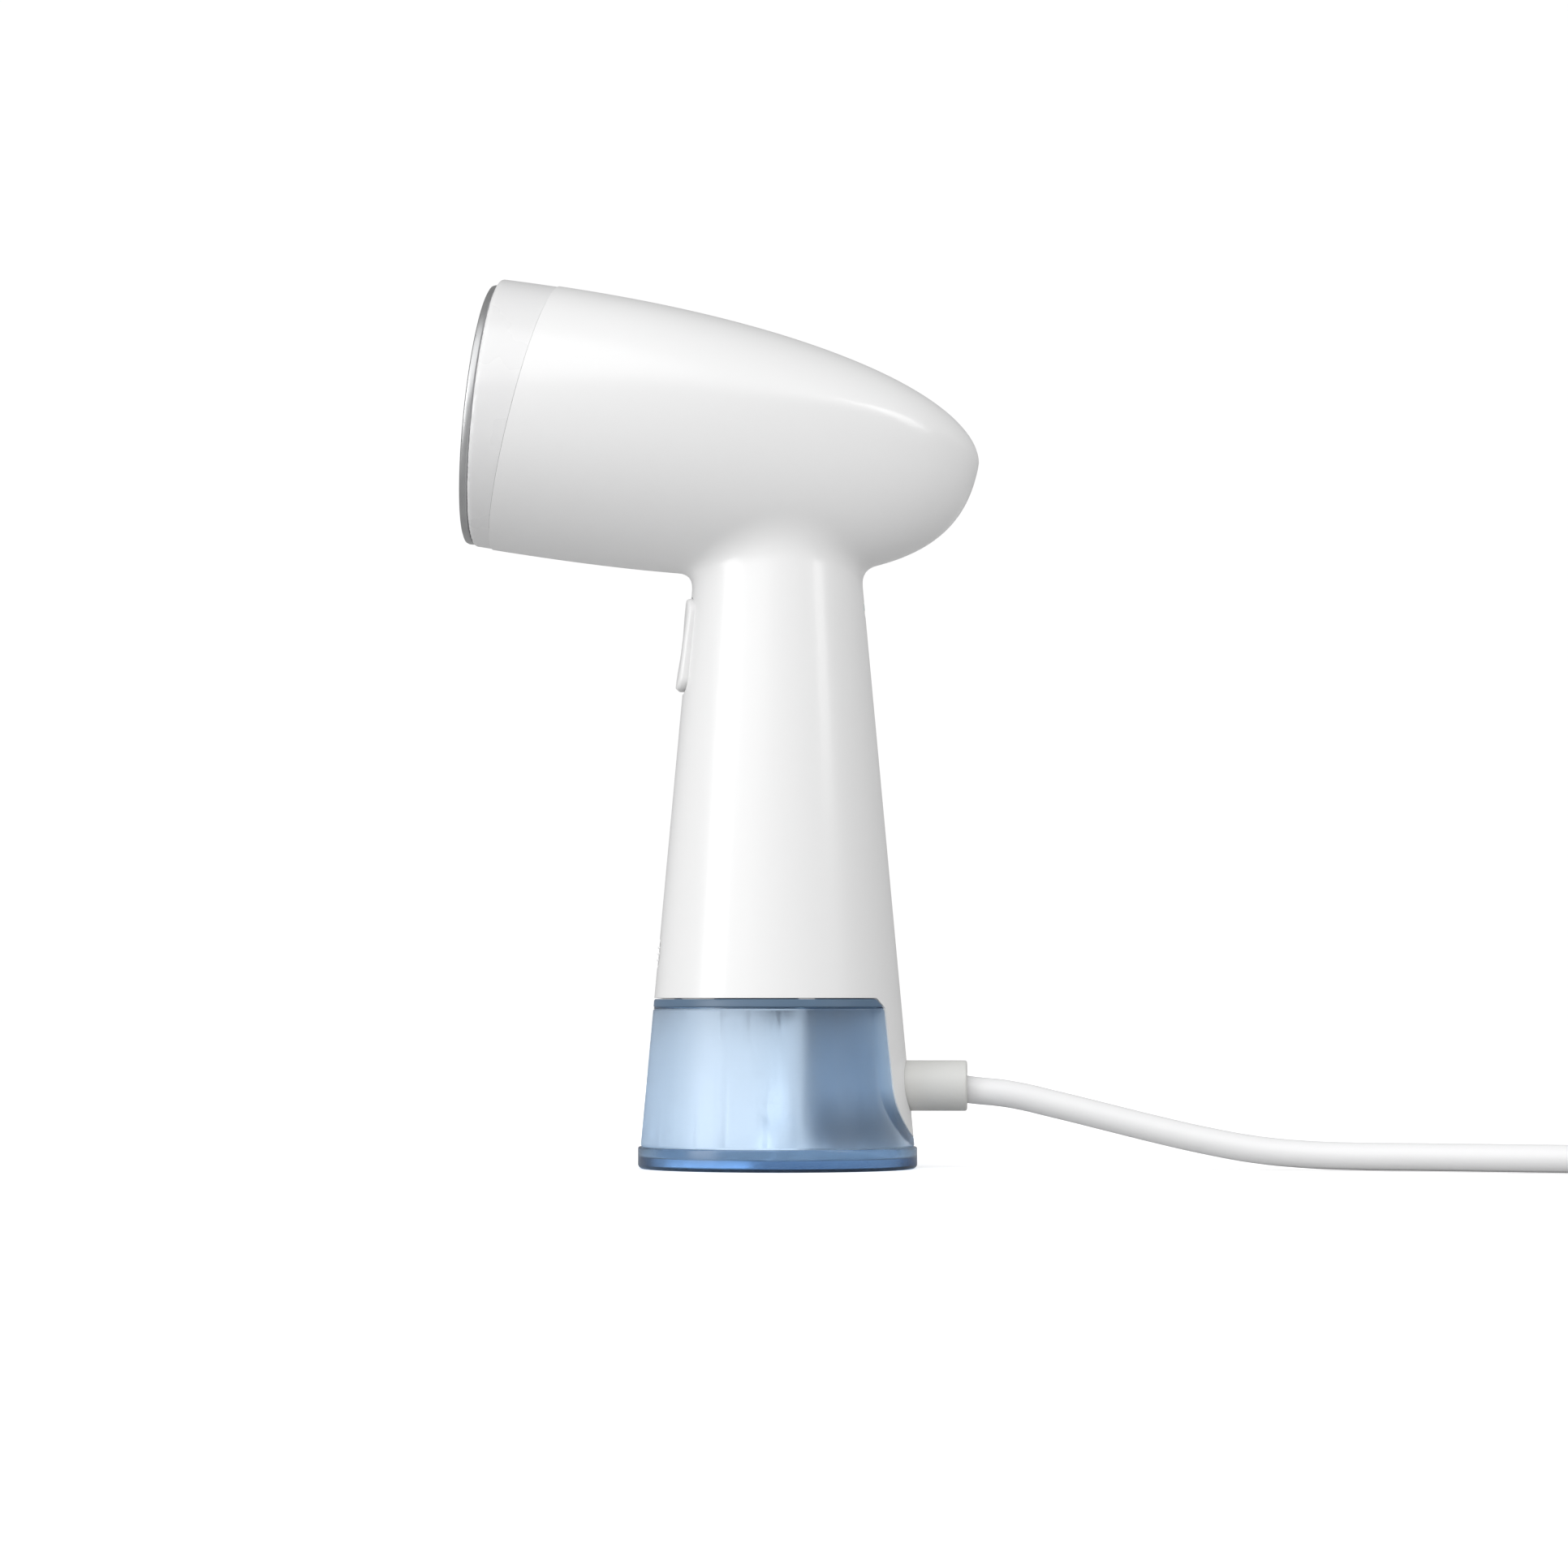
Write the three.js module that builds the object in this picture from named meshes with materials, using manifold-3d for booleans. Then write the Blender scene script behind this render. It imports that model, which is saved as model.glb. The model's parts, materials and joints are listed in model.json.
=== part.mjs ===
// A handheld garment steamer that stands on its own water tank.
// Millimetres, +Z up. The origin is the centre of the tank's flat base, on the surface it stands on.
// The steam plate faces -X, the mains cord leaves towards +X, and the casing splits on the plane Y = 0.
import * as THREE from "three";
import { mergeVertices } from "three/addons/utils/BufferGeometryUtils.js";
import Module from "manifold-3d";

const wasm = await Module();
wasm.setup();

// ---------------------------------------------------------------- driving dimensions
const GAP = 0.3; // between two pieces that rest on each other
const WALL = 2.4; // casing
const TANK_WALL = 2.2;

const GRIP_TOP = { z: 157, r: 22.9 }; // the grip is one long cone, oval in plan
const GRIP_SLOPE = 0.0913; // growth of the radius for each millimetre down
const OVAL = 0.86; // width across Y over width along X

const TANK_TOP_Z = 45.3;
const TANK_LID = 2.2;
const FOOT_HEIGHT = 5.9;
const FOOT_RADIUS = 37.4;
const CASE_BOTTOM_Z = TANK_TOP_Z + GAP;
const TANK_PORT = { lidHole: 6.1, seal: 5.7, sealBore: 3.5, tube: 2.6, tubeBore: 1.6 }; // radii at the tank's outlet

const COLUMN = { x: 10.5, half: 13.6, z: 22.2 }; // the rear column that the tank wraps around
const COLUMN_CLEARANCE = 0.5;
const COLUMN_FLARE = 2.6; // bevel where the column meets the casing

const NOSE = { x: 54.3, z: 189.4 }; // rearmost point of the head
const HEAD_FRONT_X = -92; // the head's surface is drawn this far forward, then cut
const CREASE = { from: -40, to: 30, power: 1.2 }; // the widest line sharpens into a crease between these x
const FILLET = 4.5; // where the grip flares into the head

const PLATE = { x: -80.65, z: 203.5, tilt: 6.5, height: 35.2, width: 34.8, thick: 2.2 };
const SEAM = { x: -67.9, z: 202.75, tilt: 14.9 }; // plane where the bezel meets the casing
const BEZEL_INSET = 0.25;

const TRIGGER = { low: 128.2, high: 152.8, half: 7.5, proudTop: 1.4, proudLow: 2.1 };
const TRIGGER_PIVOT = { x: -17.5, z: 150 };
const TRIGGER_ROOM = 1.1; // gap under the trigger that lets it swing in
const TRIGGER_BOSS = 2.6;
const PIN_RADIUS = 1;
const PIN_REACH = 9.8; // the trigger pin's ends sit this far out, in blind holes of the casing
const RELEASE = { z: 57.5, half: 6, tall: 3.6 }; // button that frees the tank
const INDICATOR_Z = 150;

const PUMP = { low: 64, high: 122, radius: 6, bore: 4.1, nozzle: 3, nozzleBore: 1.5 };
const FILLER = { x: -12, y: 14, radius: 6, flange: 7.2 }; // plug in the tank lid
const LENS_RADIUS = 2.2;
const CORD_RADIUS = 3.75;
const CLAMP = { x0: 20, x1: 26, half: 7.2, screwY: 5.6 }; // the clamp that holds the cord inside the column
const GUARD = { radius: 6.75, bore: 4.15, flange: 9, start: 27.4, end: 50.8 };

// Cord: the run that lies free, its middle line, then a flat coil of two layers.
const CORD_EXIT = 52.7;
const COIL = { x: 276, y: 10, turns: 3, outer: 52.2, pitch: 7.7 };
const CORD_ROUTE = [
  [CORD_EXIT, 0, 21],
  [62, 0, 20],
  [75, -0.3, 17.1],
  [88, -0.9, 13.9],
  [101, -1.8, 10.7],
  [114, -3.1, 7.8],
  [127, -4.9, 5.5],
  [140, -7.2, 4.3],
  [154, -10.4, 3.9],
  [170, -14.8, 3.9],
  [188, -20.6, 3.9],
  [207, -27.2, 3.9],
  [226, -33.5, 3.9],
  [243, -38, 4.3],
  [260, -41.2, 4.8],
  [COIL.x, COIL.y - COIL.outer, 4.8],
];
const COIL_LIFT = 1; // the tie under the coil holds it off the floor
const TAIL = { from: 40, leaves: 98, bend: 31.5 }; // degrees where the cord climbs off the top turn, and its bend
const PLUG = { z: 20.9, pitch: 9 }; // height of the plug's cord end, and its tilt as it lies on the coil
const PLUG_PIN = { radius: 2.4, apart: 19, root: 60, tip: 79 };

// ---------------------------------------------------------------- materials
const plastic = (color, roughness) => new THREE.MeshStandardMaterial({ color, roughness, metalness: 0 });
const metal = (color, roughness) => new THREE.MeshStandardMaterial({ color, roughness, metalness: 1 });
const WHITE = plastic(0xf4f4f3, 0.32);
const SHADE_WHITE = plastic(0xe9e9e7, 0.35);
const WARM_GREY = plastic(0xd9d8d2, 0.5);
const CORD_WHITE = plastic(0xf0eff0, 0.45);
const TANK_BLUE = new THREE.MeshStandardMaterial({
  color: 0x8fb6dc, roughness: 0.12, metalness: 0, transparent: true, opacity: 0.55,
});
const DEEP_BLUE = new THREE.MeshStandardMaterial({
  color: 0x2c5a96, roughness: 0.15, metalness: 0, transparent: true, opacity: 0.8,
});
const PLATE_METAL = metal(0x9a9b9d, 0.28);
const ALUMINIUM = metal(0xb9babc, 0.45);
const STEEL = metal(0x9fa2a6, 0.35);
const BRASS = metal(0xc9a45c, 0.35);
const COPPER = plastic(0xa8552c, 0.45);
const SILICONE = plastic(0xdfe3e6, 0.6);
const BLACK = plastic(0x232325, 0.5);
const BOARD_GREEN = plastic(0x2f6b46, 0.55);
const RED = plastic(0xa33a30, 0.5);
const CLEAR = new THREE.MeshStandardMaterial({ color: 0xcfe6f2, roughness: 0.15, transparent: true, opacity: 0.6 });

// ---------------------------------------------------------------- solids
// A geometry as a manifold-3d solid, and a solid as a geometry.
function solid(geometry) {
  const bare = geometry.index ? geometry.toNonIndexed() : geometry.clone();
  bare.deleteAttribute("normal");
  bare.deleteAttribute("uv");
  const merged = mergeVertices(bare, 1e-4);
  const made = new wasm.Manifold(
    new wasm.Mesh({
      numProp: 3,
      vertProperties: merged.attributes.position.array,
      triVerts: new Uint32Array(merged.index.array),
    }),
  );
  if (made.volume() <= 0) throw new Error("a solid is inside out");
  return made;
}

function geometryOf(made) {
  const { numProp, vertProperties, triVerts } = made.getMesh();
  const position = new Float32Array((vertProperties.length / numProp) * 3);
  for (let i = 0; i < position.length / 3; i++)
    position.set(vertProperties.subarray(i * numProp, i * numProp + 3), i * 3);
  return new THREE.BufferGeometry()
    .setAttribute("position", new THREE.BufferAttribute(position, 3))
    .setIndex(new THREE.BufferAttribute(triVerts, 1));
}

const union = (...solids) => solids.reduce((a, b) => a.add(b));
const cut = (body, ...tools) => tools.reduce((a, b) => a.subtract(b), body);

const part = new THREE.Group();

// Adds a named mesh to the part, or to a group of it.
function add(name, shape, material, group = part) {
  const geometry = shape.isBufferGeometry ? shape : geometryOf(shape);
  const mesh = new THREE.Mesh(geometry, material);
  mesh.name = name;
  group.add(mesh);
  return mesh;
}

function box(x0, x1, y0, y1, z0, z1) {
  const shape = new THREE.BoxGeometry(x1 - x0, y1 - y0, z1 - z0);
  return solid(shape.translate((x0 + x1) / 2, (y0 + y1) / 2, (z0 + z1) / 2));
}

// A closed profile of [radius, height] points turned about Z.
function turned(profile, segments = 24) {
  const points = profile.map(([r, z]) => new THREE.Vector2(r, z));
  return new THREE.LatheGeometry(points, segments).rotateX(Math.PI / 2);
}

// The same with an oval plan, for what follows the grip.
const oval = (profile, segments = 40) => solid(turned(profile, segments).scale(1, OVAL, 1));

// Profile of a plain rod or ring, counter-clockwise so that its faces point out.
const ring = (inner, outer, low, high) =>
  inner > 0
    ? [[inner, low], [outer, low], [outer, high], [inner, high], [inner, low]]
    : [[0, low], [outer, low], [outer, high], [0, high]];

const alongX = (geometry) => geometry.rotateY(Math.PI / 2);
const alongY = (geometry) => geometry.rotateX(-Math.PI / 2);

const rodX = (r, x0, x1, y, z, segments = 16) =>
  solid(alongX(turned(ring(0, r, x0, x1), segments)).translate(0, y, z));
const rodY = (r, y0, y1, x, z, segments = 16) =>
  solid(alongY(turned(ring(0, r, y0, y1), segments)).translate(x, 0, z));
const rodZ = (r, z0, z1, x, y, segments = 16) => solid(turned(ring(0, r, z0, z1), segments).translate(x, y, 0));

// A skin through closed rings of points, with flat ends. Rings run counter-clockwise seen from their far side.
function skin(rings) {
  const count = rings[0].length;
  const middle = (points) =>
    points.reduce((sum, p) => sum.add(p), new THREE.Vector3()).divideScalar(points.length);
  const points = [...rings.flat(), middle(rings[0]), middle(rings.at(-1))];
  const index = [];
  for (let i = 0; i < rings.length - 1; i++)
    for (let j = 0; j < count; j++) {
      const a = i * count + j;
      const b = i * count + ((j + 1) % count);
      index.push(a, b, b + count, a, b + count, a + count);
    }
  const last = (rings.length - 1) * count;
  for (let j = 0; j < count; j++) {
    const k = (j + 1) % count;
    index.push(points.length - 2, k, j, points.length - 1, last + j, last + k);
  }
  return new THREE.BufferGeometry().setFromPoints(points).setIndex(index);
}

// A tube of given radius along a smooth curve through points; hollow if bore is given.
function hose(points, radius, { bore = 0, sides = 8, steps = 20 } = {}) {
  const section = new THREE.Shape();
  const hole = new THREE.Path();
  for (let i = 0; i < sides; i++) {
    const a = (i * 2 * Math.PI) / sides;
    const at = (path, r) => path[i ? "lineTo" : "moveTo"](r * Math.cos(a), r * Math.sin(a));
    at(section, radius);
    if (bore) at(hole, bore);
  }
  if (bore) section.holes.push(hole);
  const curve = new THREE.CatmullRomCurve3(points.map((p) => new THREE.Vector3(...p)), false, "centripetal");
  return solid(new THREE.ExtrudeGeometry(section, { steps, extrudePath: curve, curveSegments: 1 }));
}

// A compression spring along +X from the origin.
function springX(radius, wire, length, turns) {
  const points = [];
  const perTurn = 10;
  for (let i = 0; i <= turns * perTurn; i++) {
    const a = (i * 2 * Math.PI) / perTurn;
    points.push([wire + ((length - 2 * wire) * i) / (turns * perTurn), radius * Math.cos(a), radius * Math.sin(a)]);
  }
  return hose(points, wire, { sides: 5, steps: turns * perTurn });
}

// ---------------------------------------------------------------- outer surfaces
const gripRadius = (z) => GRIP_TOP.r + (GRIP_TOP.z - z) * GRIP_SLOPE;

// A cone that follows the grip, moved in by inset, between two heights.
function grip(low, high, inset = 0, segments = 40) {
  const point = (z) => [gripRadius(z) - inset, z];
  return oval([[0, low], point(low), point(high), [0, high]], segments);
}

const v2 = (x, z) => new THREE.Vector2(x, z);
const noseTip = v2(NOSE.x, NOSE.z);
const HEAD_TOP = new THREE.CubicBezierCurve(v2(HEAD_FRONT_X, 242.4), v2(10.3, 230.9), v2(NOSE.x, 206), noseTip);
const HEAD_LOW = new THREE.CubicBezierCurve(v2(HEAD_FRONT_X, 169.4), v2(22.2, 148.7), v2(49.3, 160.8), noseTip);
const HEAD_WAIST = new THREE.CubicBezierCurve(v2(HEAD_FRONT_X, 203.8), v2(10, 204.5), v2(36, 203), noseTip);
const HEAD_PLAN = new THREE.CubicBezierCurve(v2(HEAD_FRONT_X, 36), v2(-10, 37), v2(NOSE.x, 26), v2(NOSE.x, 0));

// Where an outline passes a given x.
function outlineAt(curve, x) {
  let low = 0;
  let high = 1;
  for (let i = 0; i < 30; i++) {
    const t = (low + high) / 2;
    if (curve.getPoint(t).x < x) low = t;
    else high = t;
  }
  return curve.getPoint((low + high) / 2).y;
}

// Half sections above and below the widest line are superelliptic: (y / half)^2 + (height / tall)^power = 1.
function headSection(x) {
  const top = outlineAt(HEAD_TOP, x);
  const low = outlineAt(HEAD_LOW, x);
  const waist = outlineAt(HEAD_WAIST, x);
  const power = 2 - (2 - CREASE.power) * THREE.MathUtils.smoothstep(x, CREASE.from, CREASE.to);
  return { waist, up: top - waist, down: waist - low, half: outlineAt(HEAD_PLAN, x), power };
}

// Height of the head's underside above a point in plan.
function underside(x, y) {
  const { waist, down, half } = headSection(x);
  return waist - down * Math.sqrt(1 - Math.min(1, Math.abs(y) / half) ** 2);
}

// The head as an egg of such sections, closed at the nose.
function head(stations, sides) {
  const rings = [];
  for (let i = 0; i < stations; i++) {
    const x = HEAD_FRONT_X + (NOSE.x - HEAD_FRONT_X) * Math.sin((0.985 * Math.PI * i) / (2 * (stations - 1)));
    const { waist, up, down, half, power } = headSection(x);
    const points = [];
    for (let j = 0; j < sides; j++) {
      const a = (j * 2 * Math.PI) / sides;
      const rise = Math.sin(a) > 0 ? up * Math.sin(a) ** (2 / power) : down * Math.sin(a);
      points.push(new THREE.Vector3(x, half * Math.cos(a), waist + rise));
    }
    rings.push(points);
  }
  return skin(rings);
}

// The grip with its flare, reaching up inside the head.
function flaredGrip(sides) {
  const around = (outset, height) => {
    const points = [];
    for (let j = 0; j < sides; j++) {
      const a = (j * 2 * Math.PI) / sides;
      const place = (r, out) => [(r + out) * Math.cos(a), (r * OVAL + out) * Math.sin(a)];
      const z = height(underside(...place(GRIP_TOP.r, FILLET)));
      const [x, y] = place(gripRadius(Math.min(z, GRIP_TOP.z + 10)), outset);
      points.push(new THREE.Vector3(x, y, z));
    }
    return points;
  };
  const arc = [0, 30, 60, 90].map((degrees) => {
    const a = THREE.MathUtils.degToRad(degrees);
    return around(FILLET * (1 - Math.cos(a)), (top) => top - FILLET * (1 - Math.sin(a)));
  });
  return skin([around(0, () => CASE_BOTTOM_Z), ...arc, around(0, (top) => top + 8)]);
}

// The column's outline seen along X: straight sides, a round foot, and a bevel where it meets the casing.
function columnPrism(x0, x1, grow, flare = true) {
  const half = COLUMN.half + grow;
  const top = CASE_BOTTOM_Z + 14;
  const bevel = flare ? COLUMN_FLARE : 0;
  const shape = new THREE.Shape();
  shape.moveTo(half + bevel, top);
  shape.lineTo(half + bevel, TANK_TOP_Z + 0.2);
  shape.lineTo(half, TANK_TOP_Z + 0.2 - bevel);
  shape.lineTo(half, COLUMN.z);
  shape.absarc(0, COLUMN.z, half, 0, Math.PI, true);
  shape.lineTo(-half, TANK_TOP_Z + 0.2 - bevel);
  shape.lineTo(-half - bevel, TANK_TOP_Z + 0.2);
  shape.lineTo(-half - bevel, top);
  const prism = new THREE.ExtrudeGeometry(shape, { depth: x1 - x0, bevelEnabled: false, curveSegments: 8 });
  // the shape's axes become Y and Z, and the extrusion runs along X
  return solid(prism.rotateX(Math.PI / 2).rotateZ(Math.PI / 2).translate(x0, 0, 0));
}

// Half of space in front of a tilted plane, as a large box.
function inFrontOf(plane, shift = 0) {
  const size = 200;
  const slab = new THREE.BoxGeometry(size, size, size).translate(-size / 2 + shift, 0, 0);
  return solid(slab.rotateY(THREE.MathUtils.degToRad(plane.tilt)).translate(plane.x, 0, plane.z));
}

// A rounded rectangle in Y and Z, extruded along X.
function pill(x0, x1, half, low, high, corner) {
  const shape = new THREE.Shape();
  const across = half - corner;
  shape.moveTo(-across, low);
  shape.absarc(across, low + corner, corner, -Math.PI / 2, 0);
  shape.absarc(across, high - corner, corner, 0, Math.PI / 2);
  shape.absarc(-across, high - corner, corner, Math.PI / 2, Math.PI);
  shape.absarc(-across, low + corner, corner, Math.PI, (3 * Math.PI) / 2);
  const prism = new THREE.ExtrudeGeometry(shape, { depth: x1 - x0, bevelEnabled: false, curveSegments: 4 });
  return solid(prism.rotateX(Math.PI / 2).rotateZ(Math.PI / 2).translate(x0, 0, 0));
}

// ---------------------------------------------------------------- casing
const HOUSING_SCREWS = [
  { x: 36, z: 188 },
  { x: -28, z: 220 },
  { x: -21, z: 97 },
  { x: 25, z: 57 },
];
const SCREW_SEAT_Y = 3.4; // how far the head sits from the split
const SCREW_HOLE_RADIUS = 3.1;
const SCREW = { head: 2.7, shank: 1.4, pilot: 1.75, post: 4.2, tipY: -11.5 };
const PUMP_RIBS = [68, 117];
const RIB_HALF = 1;
const MOUNT_RADIUS = 11;
const HEAD_HALF = 36.5;
const HEAD_AXIS_Z = 195; // the inside of the head is its outside drawn in towards this height

// Scale across the head that draws its sides in by an amount.
const drawnIn = (amount) => 1 - amount / HEAD_HALF;

const headOuter = solid(head(19, 40));
const headInner = solid(
  head(15, 32)
    .translate(-HEAD_FRONT_X, 0, -HEAD_AXIS_Z)
    .scale((NOSE.x - HEAD_FRONT_X - WALL) / (NOSE.x - HEAD_FRONT_X), drawnIn(WALL), drawnIn(WALL))
    .translate(HEAD_FRONT_X, 0, HEAD_AXIS_Z),
);
const caseOuter = union(headOuter, solid(flaredGrip(40)), columnPrism(COLUMN.x, 60, 0).intersect(grip(5, 60)));
const caseInner = union(
  headInner,
  grip(CASE_BOTTOM_Z - 1, 172, WALL, 32),
  columnPrism(COLUMN.x + 2, 60, -2, false).intersect(grip(5, 60, WALL, 32)),
);

function housing() {
  const posts = HOUSING_SCREWS.map(({ x, z }) => rodY(SCREW.post, -40, 40, x, z, 12));
  const ribs = PUMP_RIBS.map((z) =>
    cut(
      grip(z - RIB_HALF, z + RIB_HALF, 1, 32),
      rodZ(MOUNT_RADIUS + 0.4, z - 2, z + 2, 0, 0, 20),
      box(15, 30, -8, 8, z - 2, z + 2), // room for the mains wires
    ),
  );
  const inside = union(...posts, ...ribs).intersect(caseOuter);
  const shell = union(cut(caseOuter, caseInner), inside);
  return cut(
    shell,
    inFrontOf(SEAM, GAP),
    pill(-40, -15, TRIGGER.half + 0.4, TRIGGER.low - TRIGGER_ROOM, TRIGGER.high + 0.4, 4),
    rodY(PIN_RADIUS + GAP, -PIN_REACH - GAP, PIN_REACH + GAP, TRIGGER_PIVOT.x, TRIGGER_PIVOT.z, 12),
    pill(-40, -20, RELEASE.half + 0.3, RELEASE.z - RELEASE.tall - 0.3, RELEASE.z + RELEASE.tall + 0.3, 3.5),
    rodX(LENS_RADIUS + GAP, 15, 30, 0, INDICATOR_Z, 12),
    rodX(GUARD.radius + 0.35, 28, 45, 0, COLUMN.z, 24),
    ...HOUSING_SCREWS.flatMap(({ x, z }) => [
      rodY(SCREW_HOLE_RADIUS, SCREW_SEAT_Y, 45, x, z, 16),
      rodY(SCREW.pilot, SCREW.tipY - 0.5, SCREW_SEAT_Y + 1, x, z, 10),
    ]),
  );
}

const shell = housing();
add("housing_left", shell.intersect(box(-100, 80, -60, -GAP / 2, 0, 260)), WHITE);
add("housing_right", shell.intersect(box(-100, 80, GAP / 2, 60, 0, 260)), WHITE);

HOUSING_SCREWS.forEach(({ x, z }, i) => {
  const screwHead = rodY(SCREW.head, SCREW_SEAT_Y + GAP, SCREW_SEAT_Y + 2.3, x, z, 14);
  const recess = rodY(1, SCREW_SEAT_Y + 1.2, SCREW_SEAT_Y + 3, x, z, 4);
  const shank = rodY(SCREW.shank, SCREW.tipY, SCREW_SEAT_Y + 0.5, x, z, 8);
  add(`housing_screw_${i + 1}`, cut(union(screwHead, shank), recess), STEEL);
});

// The plate under the casing, with the post that the latch spring pushes on.
function basePlate() {
  const low = CASE_BOTTOM_Z + GAP;
  return cut(
    union(grip(low, low + 2, WALL + GAP, 32), box(-20.5, -18.5, -4, 4, low + 1, 61.5), rodZ(6, low, low + 5, 0, 0)),
    columnPrism(COLUMN.x - GAP, 60, GAP),
    rodZ(3.4, 40, 60, 0, 0),
    rodZ(FILLER.flange + 1, 40, low + 2.5, FILLER.x, FILLER.y, 20),
    box(-32, -23, -5, 5, 40, 52),
  );
}
add("base_plate", basePlate(), SHADE_WHITE);

// ---------------------------------------------------------------- tank
const slot = columnPrism(COLUMN.x - 1, 60, COLUMN_CLEARANCE);

function tankShell() {
  const low = FOOT_HEIGHT + GAP;
  const high = TANK_TOP_Z - TANK_LID - GAP;
  const slotWall = columnPrism(COLUMN.x - 1 - TANK_WALL, 60, COLUMN_CLEARANCE + TANK_WALL, false);
  const hollow = cut(grip(low - 1, high + 1, TANK_WALL, 36), slotWall);
  return cut(grip(low, high), slot, hollow);
}
add("tank_shell", tankShell(), TANK_BLUE);

add(
  "tank_lid",
  cut(
    grip(TANK_TOP_Z - TANK_LID, TANK_TOP_Z),
    slot,
    rodZ(TANK_PORT.lidHole, 40, 50, 0, 0),
    rodZ(FILLER.radius + 0.4, 40, 50, FILLER.x, FILLER.y, 20),
    box(-29.6, -23.4, -4.6, 4.6, 40, 50), // the latch goes in here
  ),
  TANK_BLUE,
);

add(
  "tank_foot",
  oval([
    [0, 0], [FOOT_RADIUS - 0.8, 0], [FOOT_RADIUS, 0.8], [FOOT_RADIUS, FOOT_HEIGHT - 0.5],
    [FOOT_RADIUS - 0.5, FOOT_HEIGHT], [FOOT_RADIUS - 3.6, FOOT_HEIGHT], [FOOT_RADIUS - 3.6, 3], [0, 3],
  ]),
  DEEP_BLUE,
);

const sealGrip = TANK_PORT.tube + GAP; // the seal's lower end, round the pickup tube
add(
  "outlet_seal",
  turned([
    [sealGrip, 38], [4.6, 38], [4.6, 41], [TANK_PORT.seal, 41], [TANK_PORT.seal, CASE_BOTTOM_Z],
    [TANK_PORT.sealBore, CASE_BOTTOM_Z], [TANK_PORT.sealBore, 41.4], [sealGrip, 41.4], [sealGrip, 38],
  ], 16),
  SILICONE,
);
add("pickup_tube", turned(ring(TANK_PORT.tubeBore, TANK_PORT.tube, 13.2, 41.2), 12), CLEAR);
add("pickup_filter", turned([[0, 6.6], [4.4, 6.6], [4.4, 11], [3, 12.9], [0, 12.9]], 14), CLEAR);
add(
  "filler_plug",
  union(
    rodZ(FILLER.radius, 40.2, TANK_TOP_Z + 0.5, FILLER.x, FILLER.y, 20),
    rodZ(FILLER.flange, TANK_TOP_Z + GAP, TANK_TOP_Z + 1.4, FILLER.x, FILLER.y, 20),
  ),
  SILICONE,
);

// ---------------------------------------------------------------- steam head
// Built in its own frame: X runs inwards from the plate's front face and Z up the plate.
const face = new THREE.Group();
face.position.set(PLATE.x, 0, PLATE.z);
face.rotation.y = THREE.MathUtils.degToRad(PLATE.tilt);
part.add(face);

// An oval disc or ring across the face's X axis, with the plate's proportions.
function faceRing(inner, outer, x0, x1, segments = 40) {
  const shape = alongX(turned(ring(inner, outer, x0, x1), segments));
  return solid(shape.scale(1, 1, PLATE.height / PLATE.width));
}

const HUB_RADIUS = 27.4; // raised back of the plate
const CHAMBER = { radius: 26, bore: 20, front: 8.1, back: 22, floor: 17 };
const STEAM_INLET = { z: -17, radius: 2.8, bore: 1.4, end: 32 };
const OUTLET_RADIUS = 1.5;
const OUTLET_ROWS = [[12, 17], [6, 8.5]]; // how many outlets, on a circle of which radius
const CHAMBER_SCREW_RADIUS = 22.8;
const chamberScrews = [90, 210, 330].map((degrees) => {
  const a = THREE.MathUtils.degToRad(degrees);
  return { y: CHAMBER_SCREW_RADIUS * Math.cos(a), z: CHAMBER_SCREW_RADIUS * Math.sin(a) };
});

function steamPlate() {
  const outlets = [];
  for (const [count, radius] of OUTLET_ROWS)
    for (let i = 0; i < count; i++) {
      const a = ((i + 0.5) * 2 * Math.PI) / count;
      outlets.push(rodX(OUTLET_RADIUS, -2, 12, radius * Math.cos(a), radius * Math.sin(a), 8));
    }
  return cut(
    union(faceRing(0, PLATE.width, 0, PLATE.thick), faceRing(0, HUB_RADIUS, PLATE.thick - 0.5, 6.5)),
    ...outlets,
    ...chamberScrews.map(({ y, z }) => rodX(1.8, 3.4, 8, y, z, 8)),
  );
}
add("steam_plate", steamPlate(), PLATE_METAL, face);
add("plate_seal", faceRing(27.8, 31, 5.4, 7.4, 32), SILICONE, face);
add(
  "chamber_gasket",
  cut(
    faceRing(CHAMBER.bore, CHAMBER.radius, 6.8, 7.8, 32),
    ...chamberScrews.map(({ y, z }) => rodX(2, 5, 9, y, z, 8)),
  ),
  RED,
  face,
);
add(
  "steam_chamber",
  cut(
    union(
      faceRing(0, CHAMBER.radius, CHAMBER.front, CHAMBER.back, 32),
      rodX(STEAM_INLET.radius, CHAMBER.back - 1, STEAM_INLET.end, 0, STEAM_INLET.z, 12),
    ),
    faceRing(0, CHAMBER.bore, CHAMBER.front - 1, CHAMBER.floor, 28),
    rodX(STEAM_INLET.bore, CHAMBER.floor - 1, STEAM_INLET.end + 1, 0, STEAM_INLET.z, 8),
    ...chamberScrews.map(({ y, z }) => rodX(1.8, 7, 23, y, z, 8)),
  ),
  ALUMINIUM,
  face,
);
chamberScrews.forEach(({ y, z }, i) => {
  add(`chamber_screw_${i + 1}`, union(rodX(1.4, 3.8, 22.6, y, z, 8), rodX(2.7, 22.3, 24.2, y, z, 12)), STEEL, face);
});

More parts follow.
